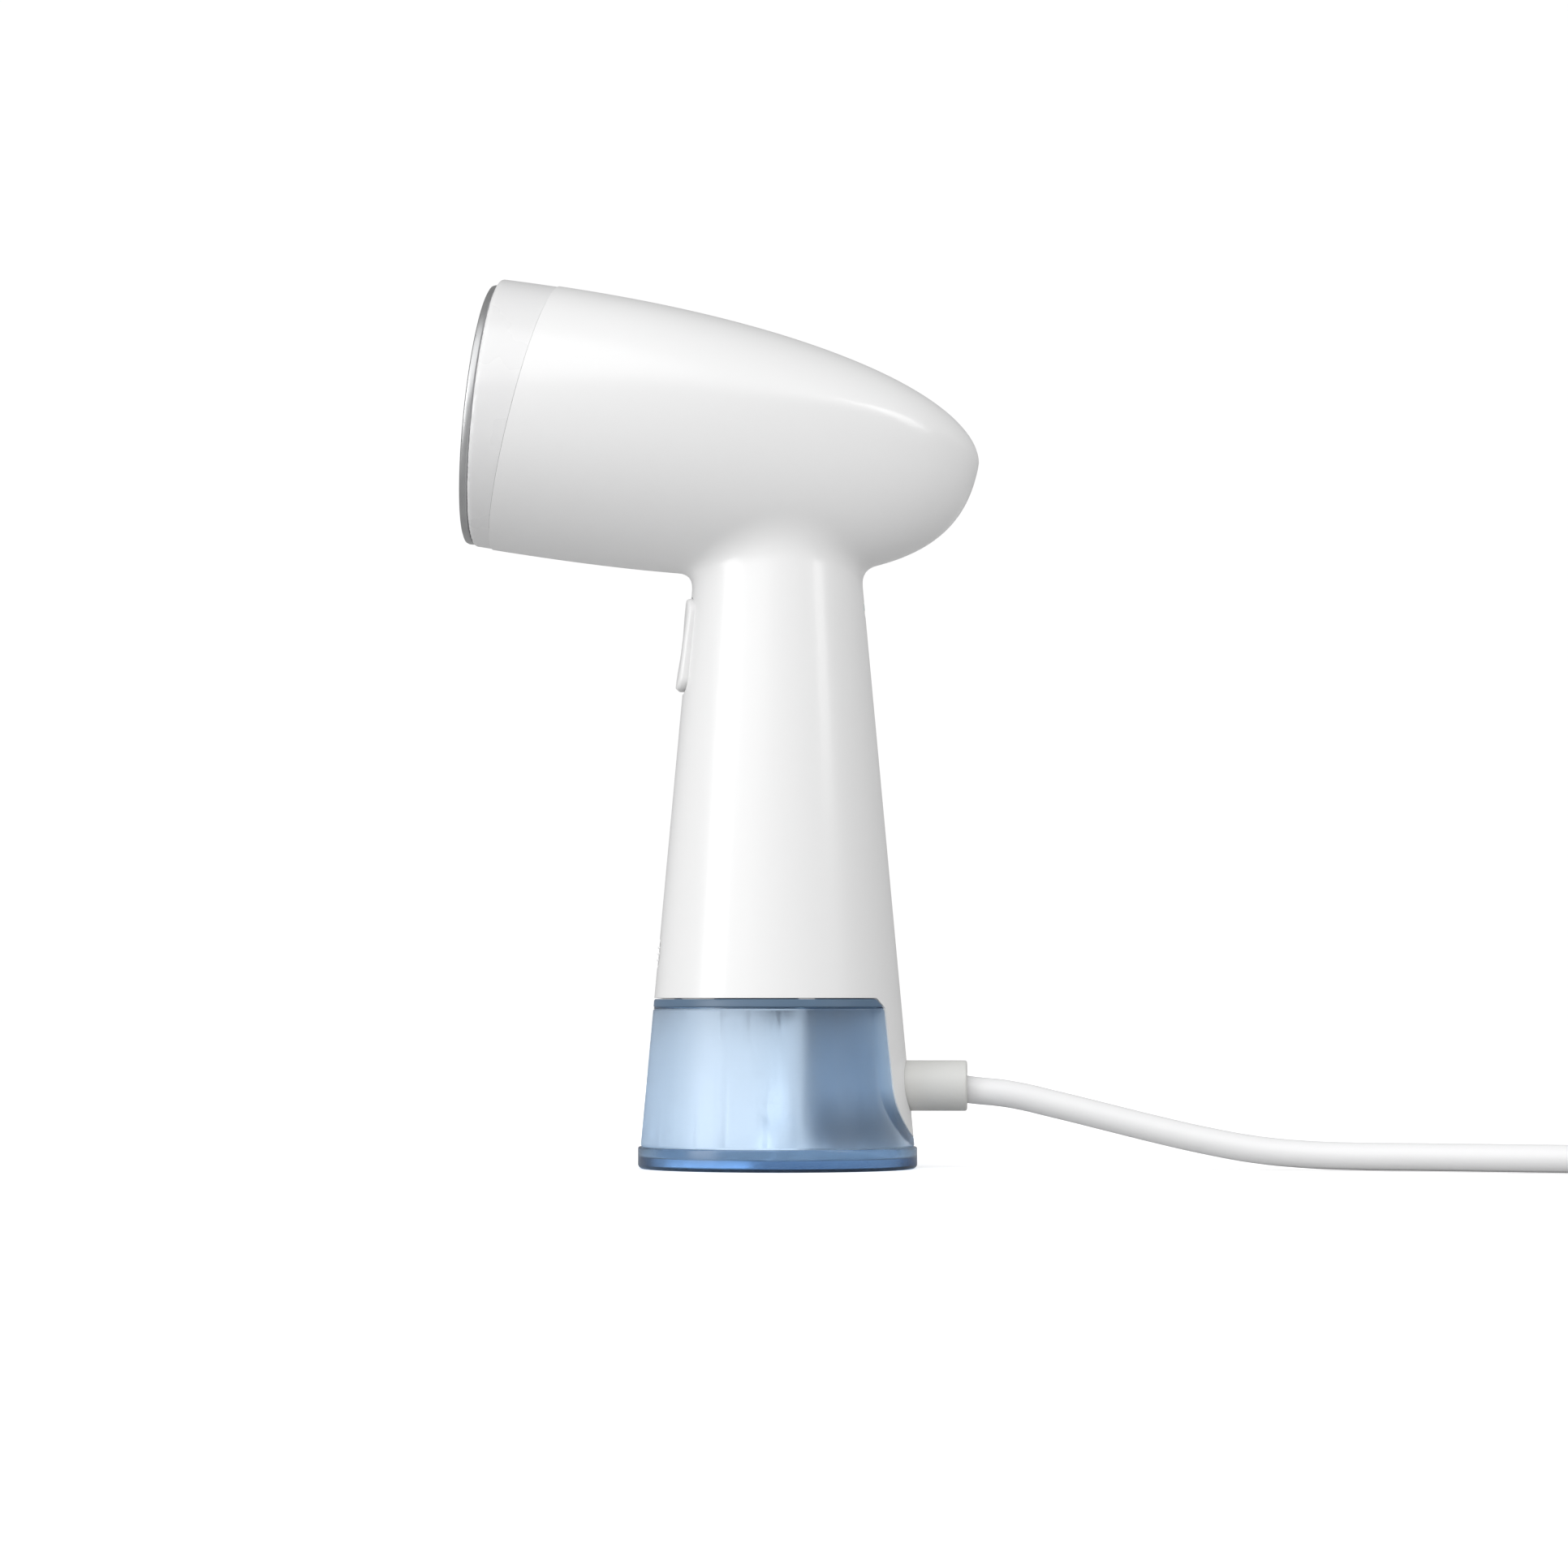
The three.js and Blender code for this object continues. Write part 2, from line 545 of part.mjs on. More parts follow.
// The sheathed heater: three quarters of a loop, open at the bottom, with its two ends turned inwards.
const HEATER = { radius: 15.5, sheath: 3, x: 26, endX: 37 };
function heater() {
  const points = [];
  for (let degrees = -45; degrees <= 225; degrees += 22.5) {
    const a = THREE.MathUtils.degToRad(degrees);
    points.push([HEATER.x, HEATER.radius * Math.cos(a), HEATER.radius * Math.sin(a)]);
  }
  const end = ([, y, z]) => [HEATER.endX, y, z];
  return hose([end(points[0]), ...points, end(points.at(-1))], HEATER.sheath, { steps: 34 });
}
add("heating_element", heater(), STEEL, face);
add("thermostat", union(faceRing(0, 9.5, 22.3, 23.5, 24), rodX(8, 23.3, 30, 0, 0, 20)), BLACK, face);
add("thermal_fuse", rodZ(1.9, -6, 8, 24.3, 21.8, 10), WHITE, face);

// A group's matrix as manifold-3d takes it, column by column.
function matrixOf(group) {
  group.updateMatrixWorld(true);
  return [...group.matrixWorld.elements];
}

// The head's surface, slightly drawn in, between the seam and the plane just behind the plate.
const BEZEL_FACE = 2.4; // thickness of the wall that the plate sits in front of
const BEZEL_OPENING = 28;
function bezel() {
  const inset = (amount, stations, sides) =>
    solid(
      head(stations, sides)
        .translate(-HEAD_FRONT_X, 0, -PLATE.z)
        .scale(1, drawnIn(amount), drawnIn(amount))
        .translate(HEAD_FRONT_X, 0, PLATE.z),
    );
  const frontFace = PLATE.thick + GAP;
  return cut(
    inset(BEZEL_INSET, 19, 40).intersect(inFrontOf(SEAM)),
    inFrontOf(PLATE, frontFace),
    faceRing(0, BEZEL_OPENING, -5, 30, 32).transform(matrixOf(face)),
    cut(inset(BEZEL_INSET + WALL, 8, 32), inFrontOf(PLATE, frontFace + BEZEL_FACE)),
  );
}
add("front_bezel", bezel(), SHADE_WHITE);

// ---------------------------------------------------------------- trigger and switch
function steamTrigger() {
  const { low, high, half, proudTop, proudLow } = TRIGGER;
  const faceOut = oval([
    [0, low - 1], [gripRadius(low) + proudLow, low - 1], [gripRadius(high) + proudTop, high + 1], [0, high + 1],
  ], 64);
  const cap = cut(pill(-35, -15, half, low, high, 3.6).intersect(faceOut), grip(low - 2, high + 2, 2, 40));
  const arm = box(-22, TRIGGER_PIVOT.x, -5, 5, 147.5, 152);
  const boss = rodY(TRIGGER_BOSS, -5, 5, TRIGGER_PIVOT.x, TRIGGER_PIVOT.z);
  const finger = box(-24, -17.4, -1.5, 1.5, 134.5, 139.5);
  return cut(union(cap, arm, boss, finger), rodY(PIN_RADIUS + GAP, -8, 8, TRIGGER_PIVOT.x, TRIGGER_PIVOT.z, 12));
}
add("steam_trigger", steamTrigger(), WHITE);
add("trigger_pin", rodY(PIN_RADIUS, -PIN_REACH, PIN_REACH, TRIGGER_PIVOT.x, TRIGGER_PIVOT.z, 12), STEEL);
add(
  "switch_bracket",
  union(
    box(-21, -13, -6.5, 6.5, 118.3, 121.4),
    box(-14, -5.4, -6.5, 6.5, 120, 121.4),
    box(-6.6, -5.4, -6.5, 6.5, 121, 147),
    box(-14.8, -13.6, -3.5, 3.5, 121, 133),
  ),
  SHADE_WHITE,
);
add("microswitch", union(box(-13.4, -6.9, -5, 5, 134.6, 146), box(-15.4, -13, -1.2, 1.2, 136, 138)), BLACK);
const SPRING = { radius: 2, wire: 0.28 }; // of the trigger and of the tank release
add("trigger_spring", geometryOf(springX(SPRING.radius, SPRING.wire, 7.8, 4)).translate(-22.9, 0, 130.3), STEEL);

// ---------------------------------------------------------------- tank release
function releaseButton() {
  const { z, half, tall } = RELEASE;
  const cap = pill(-35, -27, half, z - tall, z + tall, 3.2).intersect(grip(z - 6, z + 6, -0.2));
  const stem = box(-30, -25.4, -3, 3, z - 2.5, z + 2.5);
  const latch = box(-27.4, -25.9, -3.6, 3.6, 43.4, z);
  return union(cap, stem, latch);
}
add("tank_release_button", releaseButton(), WHITE);
add(
  "release_spring",
  geometryOf(springX(SPRING.radius, SPRING.wire, 4.2, 3)).translate(-25.1, 0, RELEASE.z),
  STEEL,
);

// ---------------------------------------------------------------- pump and hoses
add(
  "pump_body",
  turned([
    [PUMP.bore, 74], [PUMP.nozzleBore, 74], [PUMP.nozzleBore, PUMP.low], [PUMP.nozzle, PUMP.low], [PUMP.nozzle, 68],
    [PUMP.radius, 70], [PUMP.radius, 116], [PUMP.nozzle, 118], [PUMP.nozzle, PUMP.high],
    [PUMP.nozzleBore, PUMP.high], [PUMP.nozzleBore, 112], [PUMP.bore, 112], [PUMP.bore, 74],
  ], 16),
  SHADE_WHITE,
);
add("pump_plunger", turned(ring(1.2, 3.75, 84, 104), 14), STEEL);
add("plunger_spring", geometryOf(springX(3, 0.35, 8, 4)).rotateY(-Math.PI / 2).translate(0, 0, 75), STEEL);
add("pump_coil", turned(ring(PUMP.radius + GAP, 12.4, 79.5, 110.5), 24), COPPER);
add(
  "pump_yoke",
  cut(box(-14.4, 14.4, -8, 8, 77, 113), box(-12.8, 12.8, -9, 9, 79.2, 110.8), rodZ(PUMP.radius + GAP, 70, 120, 0, 0)),
  STEEL,
);
PUMP_RIBS.forEach((z, i) => {
  const mount = turned(ring(PUMP.radius + GAP, MOUNT_RADIUS, z - 2.6, z + 2.6), 20);
  add(`pump_mount_${["lower", "upper"][i]}`, mount, BLACK);
});

add("inlet_nipple", turned([
  [1.5, 41.8], [2.9, 41.8], [2.9, 46.2], [3.1, 46.2], [3.1, 51.2], [5, 51.2], [5, 52.6], [2.9, 52.6], [2.9, 60],
  [1.5, 60], [1.5, 41.8],
], 14), WARM_GREY);
add("inlet_hose", turned(ring(3.3, 4.9, 53, 67.4), 16), SILICONE);
add(
  "outlet_hose",
  hose(
    [
      [0, 0, PUMP.high - 3], [0, 0, 140], [-0.5, 0, 156], [-8, 0, 170], [-24, 0, 179.5], [-38, 0, 181.8],
      [-54, 0, 183.5],
    ],
    4.6, { bore: 3.3, steps: 26 },
  ),
  SILICONE,
);

// ---------------------------------------------------------------- electrics
add("control_board", box(14, 15.6, -11, 11, 122, 157), BOARD_GREEN);
add("power_relay", box(7.4, 13.7, -6, 6, 142, 154), BLACK);
add("ready_light_lens", rodX(LENS_RADIUS, 20.4, gripRadius(INDICATOR_Z), 0, INDICATOR_Z, 16), CLEAR);

[-1, 1].forEach((side, i) => {
  const route = [
    [17.2, 2.2 * side, COLUMN.z], [16.4, 4 * side, 32], [17, 4.5 * side, 52], [18.5, 5 * side, 75],
    [19.2, 5 * side, 100], [17.4, 4 * side, 121.5],
  ];
  add(`mains_wire_${["live", "neutral"][i]}`, hose(route, 1.1, { sides: 6, steps: 16 }), [BLACK, COPPER][i]);
});

// ---------------------------------------------------------------- cord, inside and at the exit
add(
  "cord_guard",
  alongX(turned([
    [GUARD.bore, GUARD.start], [GUARD.flange, GUARD.start], [GUARD.flange, 29.7], [GUARD.radius, 29.7],
    [GUARD.radius, GUARD.end - 0.6], [GUARD.radius - 0.6, GUARD.end], [GUARD.bore, GUARD.end],
    [GUARD.bore, GUARD.start],
  ], 24)).translate(0, 0, COLUMN.z),
  WARM_GREY,
);
add("cord_lead_in", rodX(CORD_RADIUS, 18.6, CORD_EXIT - GAP, 0, COLUMN.z, 12), CORD_WHITE);
const clampX = (CLAMP.x0 + CLAMP.x1) / 2;
const clampScrews = [-CLAMP.screwY, CLAMP.screwY];
const clampHoles = clampScrews.map((y) => rodZ(1.2, 10, 34, clampX, y, 8));
const clampBlock = (low, high) => cut(box(CLAMP.x0, CLAMP.x1, -CLAMP.half, CLAMP.half, low, high), ...clampHoles);
add("cord_saddle", clampBlock(13.6, 18.1), WARM_GREY);
add("cord_clamp", clampBlock(26.3, 29.6), WARM_GREY);
clampScrews.forEach((y, i) => {
  const screw = union(rodZ(0.9, 14, 30.2, clampX, y, 8), rodZ(1.7, 29.9, 31.4, clampX, y, 10));
  add(`clamp_screw_${i + 1}`, screw, STEEL);
});

// ---------------------------------------------------------------- free cord
const coilInner = COIL.outer - (COIL.turns - 1) * COIL.pitch;
const coilTop = COIL_LIFT + 2 * COIL.pitch + 0.1;
const topTurnZ = coilTop - CORD_RADIUS - GAP;

// The coil as one solid ring, grown on every side.
function coilRing(grow) {
  const inner = coilInner - CORD_RADIUS - GAP;
  const outer = COIL.outer + CORD_RADIUS + GAP;
  const shape = turned(ring(inner - grow, outer + grow, COIL_LIFT - grow, coilTop + grow), 36);
  return solid(shape.translate(COIL.x, COIL.y, 0));
}
const TIE_HALF = 3.5;
const tieSlot = box(COIL.x, COIL.x + 80, COIL.y - TIE_HALF, COIL.y + TIE_HALF, -5, 30);
add("cord_run", cut(hose(CORD_ROUTE, CORD_RADIUS, { sides: 10, steps: 22 }), coilRing(GAP)), CORD_WHITE);
add("cord_coil", coilRing(0), CORD_WHITE);
add("coil_tie", cut(coilRing(COIL_LIFT - 0.1).intersect(tieSlot), coilRing(GAP)), BLACK);

// After the last turn the cord climbs onto the coil, then turns in to the plug, which lies on it.
function tailPoint(degrees) {
  const a = THREE.MathUtils.degToRad(degrees);
  const off = THREE.MathUtils.degToRad(TAIL.leaves);
  const [radius, shift] = degrees < TAIL.leaves ? [COIL.outer, 0] : [TAIL.bend, COIL.outer - TAIL.bend];
  return [
    COIL.x + shift * Math.cos(off) + radius * Math.cos(a),
    COIL.y + shift * Math.sin(off) + radius * Math.sin(a),
    topTurnZ + (PLUG.z - topTurnZ) * THREE.MathUtils.smoothstep(degrees, 0, 60),
  ];
}
const tail = [];
for (let degrees = TAIL.from; degrees <= 180; degrees += 10) tail.push(tailPoint(degrees));
add("cord_tail", cut(hose(tail, CORD_RADIUS, { sides: 10, steps: 14 }), coilRing(GAP)), CORD_WHITE);

// In the plug's own frame its cord enters at the origin and its pins point along +X.
const plug = new THREE.Group();
const [plugX, plugY] = tailPoint(180);
plug.position.set(plugX, plugY - GAP, PLUG.z);
plug.rotation.set(0, -THREE.MathUtils.degToRad(PLUG.pitch), -Math.PI / 2, "ZYX");
part.add(plug);

// Superelliptic section across the plug's X axis.
function plugSection(x, half, tall) {
  const points = [];
  for (let j = 0; j < 20; j++) {
    const a = (j * 2 * Math.PI) / 20;
    const bend = (v) => Math.sign(v) * Math.abs(v) ** 0.8;
    points.push(new THREE.Vector3(x, half * bend(Math.cos(a)), tall * bend(Math.sin(a))));
  }
  return points;
}

const plugSections = [
  [0.6, 4.1, 4.1], [24, 5.3, 5.3], [25, 6.2, 6.2], [36, 8.8, 7.6], [48, 15.5, 10.2], [54, 17.8, 11.6],
  [59.4, 18, 11.8], [PLUG_PIN.root, 17.5, 11.3],
];
add("plug_body", solid(skin(plugSections.map((section) => plugSection(...section)))), CORD_WHITE, plug);
[-1, 1].forEach((side, i) => {
  const pin = rodX(PLUG_PIN.radius, PLUG_PIN.root + GAP, PLUG_PIN.tip, (side * PLUG_PIN.apart) / 2, 0, 12);
  add(`plug_pin_${i + 1}`, pin, BRASS, plug);
});

export default part;
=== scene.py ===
"""A handheld garment steamer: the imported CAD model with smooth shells, a clear tank, a cord and materials.

The object stands on z = 0 with its steam plate towards -X and its cord towards +X. Shapes are worked out in
millimetres, from the same driving dimensions as the CAD part, and become metres when a mesh is made.
"""
import json
import math

import bmesh
import bpy
import numpy as np
from mathutils import Matrix, Vector


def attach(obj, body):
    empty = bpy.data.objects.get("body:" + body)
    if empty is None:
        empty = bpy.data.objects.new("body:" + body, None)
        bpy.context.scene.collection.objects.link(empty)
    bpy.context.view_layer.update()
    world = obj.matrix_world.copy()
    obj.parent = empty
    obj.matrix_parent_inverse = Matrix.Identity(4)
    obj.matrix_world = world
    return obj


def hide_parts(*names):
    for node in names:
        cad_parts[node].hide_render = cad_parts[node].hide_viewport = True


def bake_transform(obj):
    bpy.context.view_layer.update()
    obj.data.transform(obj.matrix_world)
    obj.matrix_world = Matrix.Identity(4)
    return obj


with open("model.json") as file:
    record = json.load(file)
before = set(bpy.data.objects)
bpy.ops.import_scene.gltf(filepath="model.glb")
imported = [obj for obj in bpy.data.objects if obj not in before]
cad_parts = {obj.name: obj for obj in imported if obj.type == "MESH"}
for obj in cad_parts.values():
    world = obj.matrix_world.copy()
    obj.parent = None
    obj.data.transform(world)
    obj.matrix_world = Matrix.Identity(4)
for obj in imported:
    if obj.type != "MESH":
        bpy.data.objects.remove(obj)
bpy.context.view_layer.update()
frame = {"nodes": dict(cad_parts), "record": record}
MM = 0.001

# ---- driving dimensions, in millimetres
GAP = 0.3
SEAM_LINE = 0.1  # what shows of the gap between the two halves and in front of and behind the bezel
WALL = 2.4
TANK_WALL = 2.2
WELD = 0.35  # height of the joint between the tank and its lid
OVAL = 0.86  # width across Y over width along X, of the grip and tank
GRIP_TOP_Z, GRIP_TOP_R, GRIP_SLOPE = 157.0, 22.9, 0.0913
TANK_TOP_Z, TANK_LID, FOOT_HEIGHT, FOOT_RADIUS = 45.3, 2.2, 5.9, 37.4
LID_LOW_Z = TANK_TOP_Z - TANK_LID
TANK_STEPS = 200  # points round the tank's oval
AXIS = 0.01  # radius at which a turned profile starts and ends
CASE_BOTTOM_Z = TANK_TOP_Z + GAP
COLUMN_X, COLUMN_HALF, COLUMN_Z, COLUMN_FLARE = 10.5, 13.6, 22.2, 2.6
COLUMN_TOP_Z = TANK_TOP_Z + 0.2
COLUMN_CLEARANCE = 0.5
SLOT_FRONT = COLUMN_X - 1  # front wall of the tank's slot for the column
COLUMN_ROUND = 5.0  # radius of the column's two upright front edges
COLUMN_WALL, COLUMN_LAP = 1.8, 0.7  # its thickness, and how far under the grip's skin it ends
NOSE_X, NOSE_Z, HEAD_FRONT_X = 54.3, 189.4, -92.0
FILLET = 4.5
PLATE_X, PLATE_Z, PLATE_TILT = -80.65, 203.5, math.radians(6.5)
PLATE_HEIGHT, PLATE_WIDTH, PLATE_THICK = 35.2, 34.8, 2.2
SEAM_X, SEAM_Z, SEAM_TILT = -67.9, 202.75, math.radians(14.9)
BEZEL_INSET, BEZEL_EDGE, BEZEL_OPENING = 0.25, 0.8, 28.0
OUTLET_RINGS = ((12, 17.0), (6, 8.5))  # number of steam outlets and radius of each ring
TRIGGER_LOW, TRIGGER_HIGH, TRIGGER_HALF = 128.2, 152.8, 7.5
TRIGGER_ROOM = 1.1
RELEASE_Z, RELEASE_HALF, RELEASE_TALL = 57.5, 6.0, 3.6
LENS_Z, LENS_R = 150.0, 2.2
SCREWS = [(36, 188), (-28, 220), (-21, 97), (25, 57)]
SCREW_SEAT_Y, SCREW_HOLE_R = 3.4, 3.1
GUARD_R, GUARD_END = 6.75, 50.8
FILLER_X, FILLER_Y = -12.0, 14.0
CORD_R = 3.75


def added(name, data):
    """A new object in the scene."""
    made = bpy.data.objects.new(name, data)
    bpy.context.collection.objects.link(made)
    return made


# ---- camera
CAMERA_DISTANCE = 1200.0
CAMERA_AZIMUTH = math.radians(3.0)
CAMERA_Z = 44.6
AIM = (1.74, 0.0, 103.1)
VIEW_WIDTH = 421.2  # of the frame, at the object
SENSOR_WIDTH = 36.0


def make_camera():
    data = bpy.data.cameras.new("camera")
    data.sensor_width = SENSOR_WIDTH
    data.lens = SENSOR_WIDTH * CAMERA_DISTANCE / VIEW_WIDTH
    camera = added("camera", data)
    camera.location = (
        MM * (AIM[0] + CAMERA_DISTANCE * math.sin(CAMERA_AZIMUTH)),
        -MM * CAMERA_DISTANCE * math.cos(CAMERA_AZIMUTH),
        MM * CAMERA_Z,
    )
    aim = MM * Vector(AIM) - camera.location
    camera.rotation_euler = aim.to_track_quat("-Z", "Y").to_euler()
    bpy.context.scene.camera = camera


# ---- cord
CORD_EXIT = 52.7
COIL_X, COIL_Y, COIL_OUTER, COIL_PITCH, COIL_TURNS, COIL_LIFT = 276.0, 10.0, 52.2, 7.7, 3, 1.0
STEP_LENGTH = 90  # degrees in which the cord moves from one turn to the next
STEPS_IN, STEPS_OUT = (270, 630), (1215, 1575)  # degrees wound where it steps to the next turn
STEP_UP = 945  # where it climbs to the upper layer
LAST_TURN = 1890  # where it starts to climb off the coil
TAIL_LEAVES, TAIL_BEND = 98, 31.5  # where it turns off the top turn, and the radius it turns in by
PLUG_Z, PLUG_PITCH = 20.9, math.radians(9)
CORD_SETTLES = (200, -24, 4)  # a point where the cord lies on the table
CORD_ROUTE = [
    (CORD_EXIT, 0, 21), (62, 0, 20), (75, -0.3, 17.1), (88, -0.9, 13.9), (101, -1.8, 10.7), (114, -3.1, 7.8),
    (127, -4.9, 5.5), (140, -7.2, 4.3), (154, -10.4, 3.9), (170, -14.8, 3.9), (188, -20.6, 3.9),
    (207, -27.2, 3.9), (226, -33.5, 3.9), (243, -38, 4.3), (260, -41.2, 4.8),
]


def around(centre, radius, degrees):
    a = math.radians(degrees)
    return centre[0] + radius * math.cos(a), centre[1] + radius * math.sin(a)


TAIL_CENTRE = around((COIL_X, COIL_Y), COIL_OUTER - TAIL_BEND, TAIL_LEAVES)


def quarter(steps):
    """The angles of a quarter turn."""
    return [math.radians(90 * i / steps) for i in range(steps + 1)]


def smoothstep(value, low, high):
    t = min(1.0, max(0.0, (value - low) / (high - low)))
    return t * t * (3 - 2 * t)


def coil_points(step=18):
    """The wound cord: three turns inwards on the floor, three outwards on top, then up to the plug."""
    low_z = COIL_LIFT + CORD_R + 0.05
    high_z = low_z + COIL_PITCH
    wound_to = LAST_TURN + TAIL_LEAVES
    points = []
    for wound in [*range(0, wound_to, step), wound_to]:
        radius = COIL_OUTER
        for start in STEPS_IN:
            radius -= COIL_PITCH * smoothstep(wound, start, start + STEP_LENGTH)
        for start in STEPS_OUT:
            radius += COIL_PITCH * smoothstep(wound, start, start + STEP_LENGTH)
        z = low_z + (high_z - low_z) * smoothstep(wound, STEP_UP, STEP_UP + STEP_LENGTH)
        z += (PLUG_Z - high_z) * smoothstep(wound, LAST_TURN, LAST_TURN + 60)
        points.append((*around((COIL_X, COIL_Y), radius, wound - 90), z))
    for degrees in (114, 131, 147, 164, 180):
        points.append((*around(TAIL_CENTRE, TAIL_BEND, degrees), PLUG_Z))
    return points


def cable(name, route):
    """A round cable along one smooth curve."""
    data = bpy.data.curves.new(name, "CURVE")
    data.dimensions = "3D"
    data.bevel_depth = CORD_R * MM
    data.bevel_resolution = 5
    data.resolution_u = 8
    data.use_fill_caps = True
    spline = data.splines.new("BEZIER")
    spline.bezier_points.add(len(route) - 1)
    for point, place in zip(spline.bezier_points, route):
        point.co = MM * Vector(place)
        point.handle_left_type = point.handle_right_type = "AUTO"
    return added(name, data)


def meshed(piece):
    """The mesh of a curve, or of a piece with its modifiers, as it stands."""
    bpy.context.view_layer.update()
    return bpy.data.meshes.new_from_object(piece.evaluated_get(bpy.context.evaluated_depsgraph_get()))


def make_cord():
    """The free cord as a mesh, from its guard to the plug, and the points of its centreline in metres."""
    curve = cable("cord_line", CORD_ROUTE + coil_points())
    tube = meshed(curve)
    curve.data.bevel_depth = 0
    centreline = [tuple(vertex.co) for vertex in meshed(curve).vertices]
    bpy.data.objects.remove(curve)
    return finish_mesh("mains_cord", tube, 60), centreline


def cord_lead():
    """The cord inside its guard, where it starts to bend down."""
    return cable("cord_lead", [(18.6, 0, 22.2), (36, 0, 22.2), (44, 0, 21.95), (CORD_EXIT, 0, 21)])


# ---- mesh helpers
SHARP_ANGLE = 35  # degrees


def mesh_object(name, points, faces, smooth_angle=SHARP_ANGLE):
    """A mesh piece from points in millimetres."""
    data = bpy.data.meshes.new(name)
    data.from_pydata([tuple(MM * float(c) for c in p) for p in points], [], [tuple(f) for f in faces])
    return finish_mesh(name, data, smooth_angle)


def smoothed(data, degrees=SHARP_ANGLE):
    """Shades a mesh smooth, and sharp where its faces turn by more than an angle."""
    data.shade_smooth()
    data.set_sharp_from_angle(angle=math.radians(degrees))
    return data


def opened(*meshes):
    bm = bmesh.new()
    for data in meshes:
        bm.from_mesh(data)
    return bm


def filled(data, bm):
    """A mesh once it holds what was in bm."""
    bm.to_mesh(data)
    bm.free()
    return data


def finish_mesh(name, data, smooth_angle=SHARP_ANGLE):
    """A piece of a mesh, once its points that lie together are one and its faces look outwards."""
    bm = opened(data)
    bmesh.ops.remove_doubles(bm, verts=bm.verts, dist=2e-6)
    bmesh.ops.dissolve_degenerate(bm, edges=bm.edges, dist=1e-6)
    bmesh.ops.recalc_face_normals(bm, faces=bm.faces)
    return added(name, smoothed(filled(data, bm), smooth_angle))


def apply_modifiers(piece):
    data = meshed(piece)
    piece.modifiers.clear()
    piece.data = smoothed(data)
    return piece


def cut_away(piece, *cutters):
    """Takes the cutters' solids out of piece, and removes them."""
    for cutter in cutters:
        modifier = piece.modifiers.new("cut", "BOOLEAN")
        modifier.operation = "DIFFERENCE"
        modifier.solver = "EXACT"
        modifier.object = cutter
    apply_modifiers(piece)
    for cutter in cutters:
        bpy.data.objects.remove(cutter)
    return piece


def lofted(name, rings, smooth_angle=SHARP_ANGLE, closed=False, matrix=None):
    """A piece through rings of equally many points, closed from its last ring to its first or capped."""
    count = len(rings[0])
    points = [matrix @ Vector(p) if matrix else p for ring in rings for p in ring]
    faces = []
    for i in range(len(rings) if closed else len(rings) - 1):
        here, there = i * count, ((i + 1) % len(rings)) * count
        for j in range(count):
            k = (j + 1) % count
            faces.append((here + j, here + k, there + k, there + j))
    if not closed:
        faces += [range(count)[::-1], range(len(points) - count, len(points))]
    return mesh_object(name, points, faces, smooth_angle)


def circle_corners(x, y, radius, count=24):
    turns = [2 * math.pi * i / count for i in range(count)]
    return [(x + radius * math.cos(a), y + radius * math.sin(a)) for a in turns]


def oval_ring(radius, z):
    return [(x, y * OVAL, z) for x, y in circle_corners(0, 0, radius, TANK_STEPS)]


def turned_oval(name, profile):
    """A profile of (radius, height) points turned along the grip's oval."""
    return lofted(name, [oval_ring(r, z) for r, z in profile])


def upright(name, outline, low=40.0, high=50.0):
    """An outline of (x, y) points extruded along Z, by default through the tank's lid."""
    return lofted(name, [[(x, y, z) for x, y in outline] for z in (low, high)])


def rectangle(low, high):
    return [(low[0], low[1]), (high[0], low[1]), (high[0], high[1]), (low[0], high[1])]


def grip_radius(z):
    return GRIP_TOP_R + (GRIP_TOP_Z - z) * GRIP_SLOPE


# ---- head and grip as one implicit surface
def bezier_table(*controls):
    t = np.linspace(0, 1, 4001)[:, None]
    a, b, c, d = (np.array(p, float) for p in controls)
    curve = (1 - t) ** 3 * a + 3 * (1 - t) ** 2 * t * b + 3 * (1 - t) * t**2 * c + t**3 * d
    return curve[:, 0], curve[:, 1]


NOSE = (NOSE_X, NOSE_Z)
HEAD_TOP = bezier_table((HEAD_FRONT_X, 242.4), (10.3, 230.9), (NOSE_X, 206), NOSE)
HEAD_LOW = bezier_table((HEAD_FRONT_X, 169.4), (22.2, 148.7), (49.3, 160.8), NOSE)
HEAD_WAIST = bezier_table((HEAD_FRONT_X, 203.8), (10, 204.5), (36, 203), NOSE)
HEAD_PLAN = bezier_table((HEAD_FRONT_X, 36), (-10, 37), (NOSE_X, 26), (NOSE_X, 0))
CREASE_FROM, CREASE_TO, CREASE_POWER, CREASE_ROUND = -40.0, 30.0, 1.25, 1.2
LEAST = 0.02  # a section is never taken as smaller than this
GROWTH_PAST_NOSE = 30.0


def head_section(x):
    """Waist height, reach above and below it, half width and upper power of the head's section at x."""
    tables = (HEAD_TOP, HEAD_LOW, HEAD_WAIST, HEAD_PLAN)
    top, low, waist, half = (np.interp(x, *table) for table in tables)
    t = np.clip((x - CREASE_FROM) / (CREASE_TO - CREASE_FROM), 0, 1)
    power = 2 - (2 - CREASE_POWER) * t * t * (3 - 2 * t)
    return waist, *(np.maximum(size, LEAST) for size in (top - waist, waist - low, half)), power


def head_raw(x, y, z):
    """Negative inside the head. Past the nose it keeps growing."""
    waist, up, down, half, power = head_section(np.minimum(x, NOSE_X))
    rise = z - waist
    softened = lambda v: np.sqrt(v**2 + CREASE_ROUND**2) - CREASE_ROUND
    share = np.where(rise > 0, (softened(rise) / softened(up)) ** power, (rise / down) ** 2)
    return y**2 + half**2 * (share - 1) + GROWTH_PAST_NOSE * np.maximum(x - NOSE_X, 0)


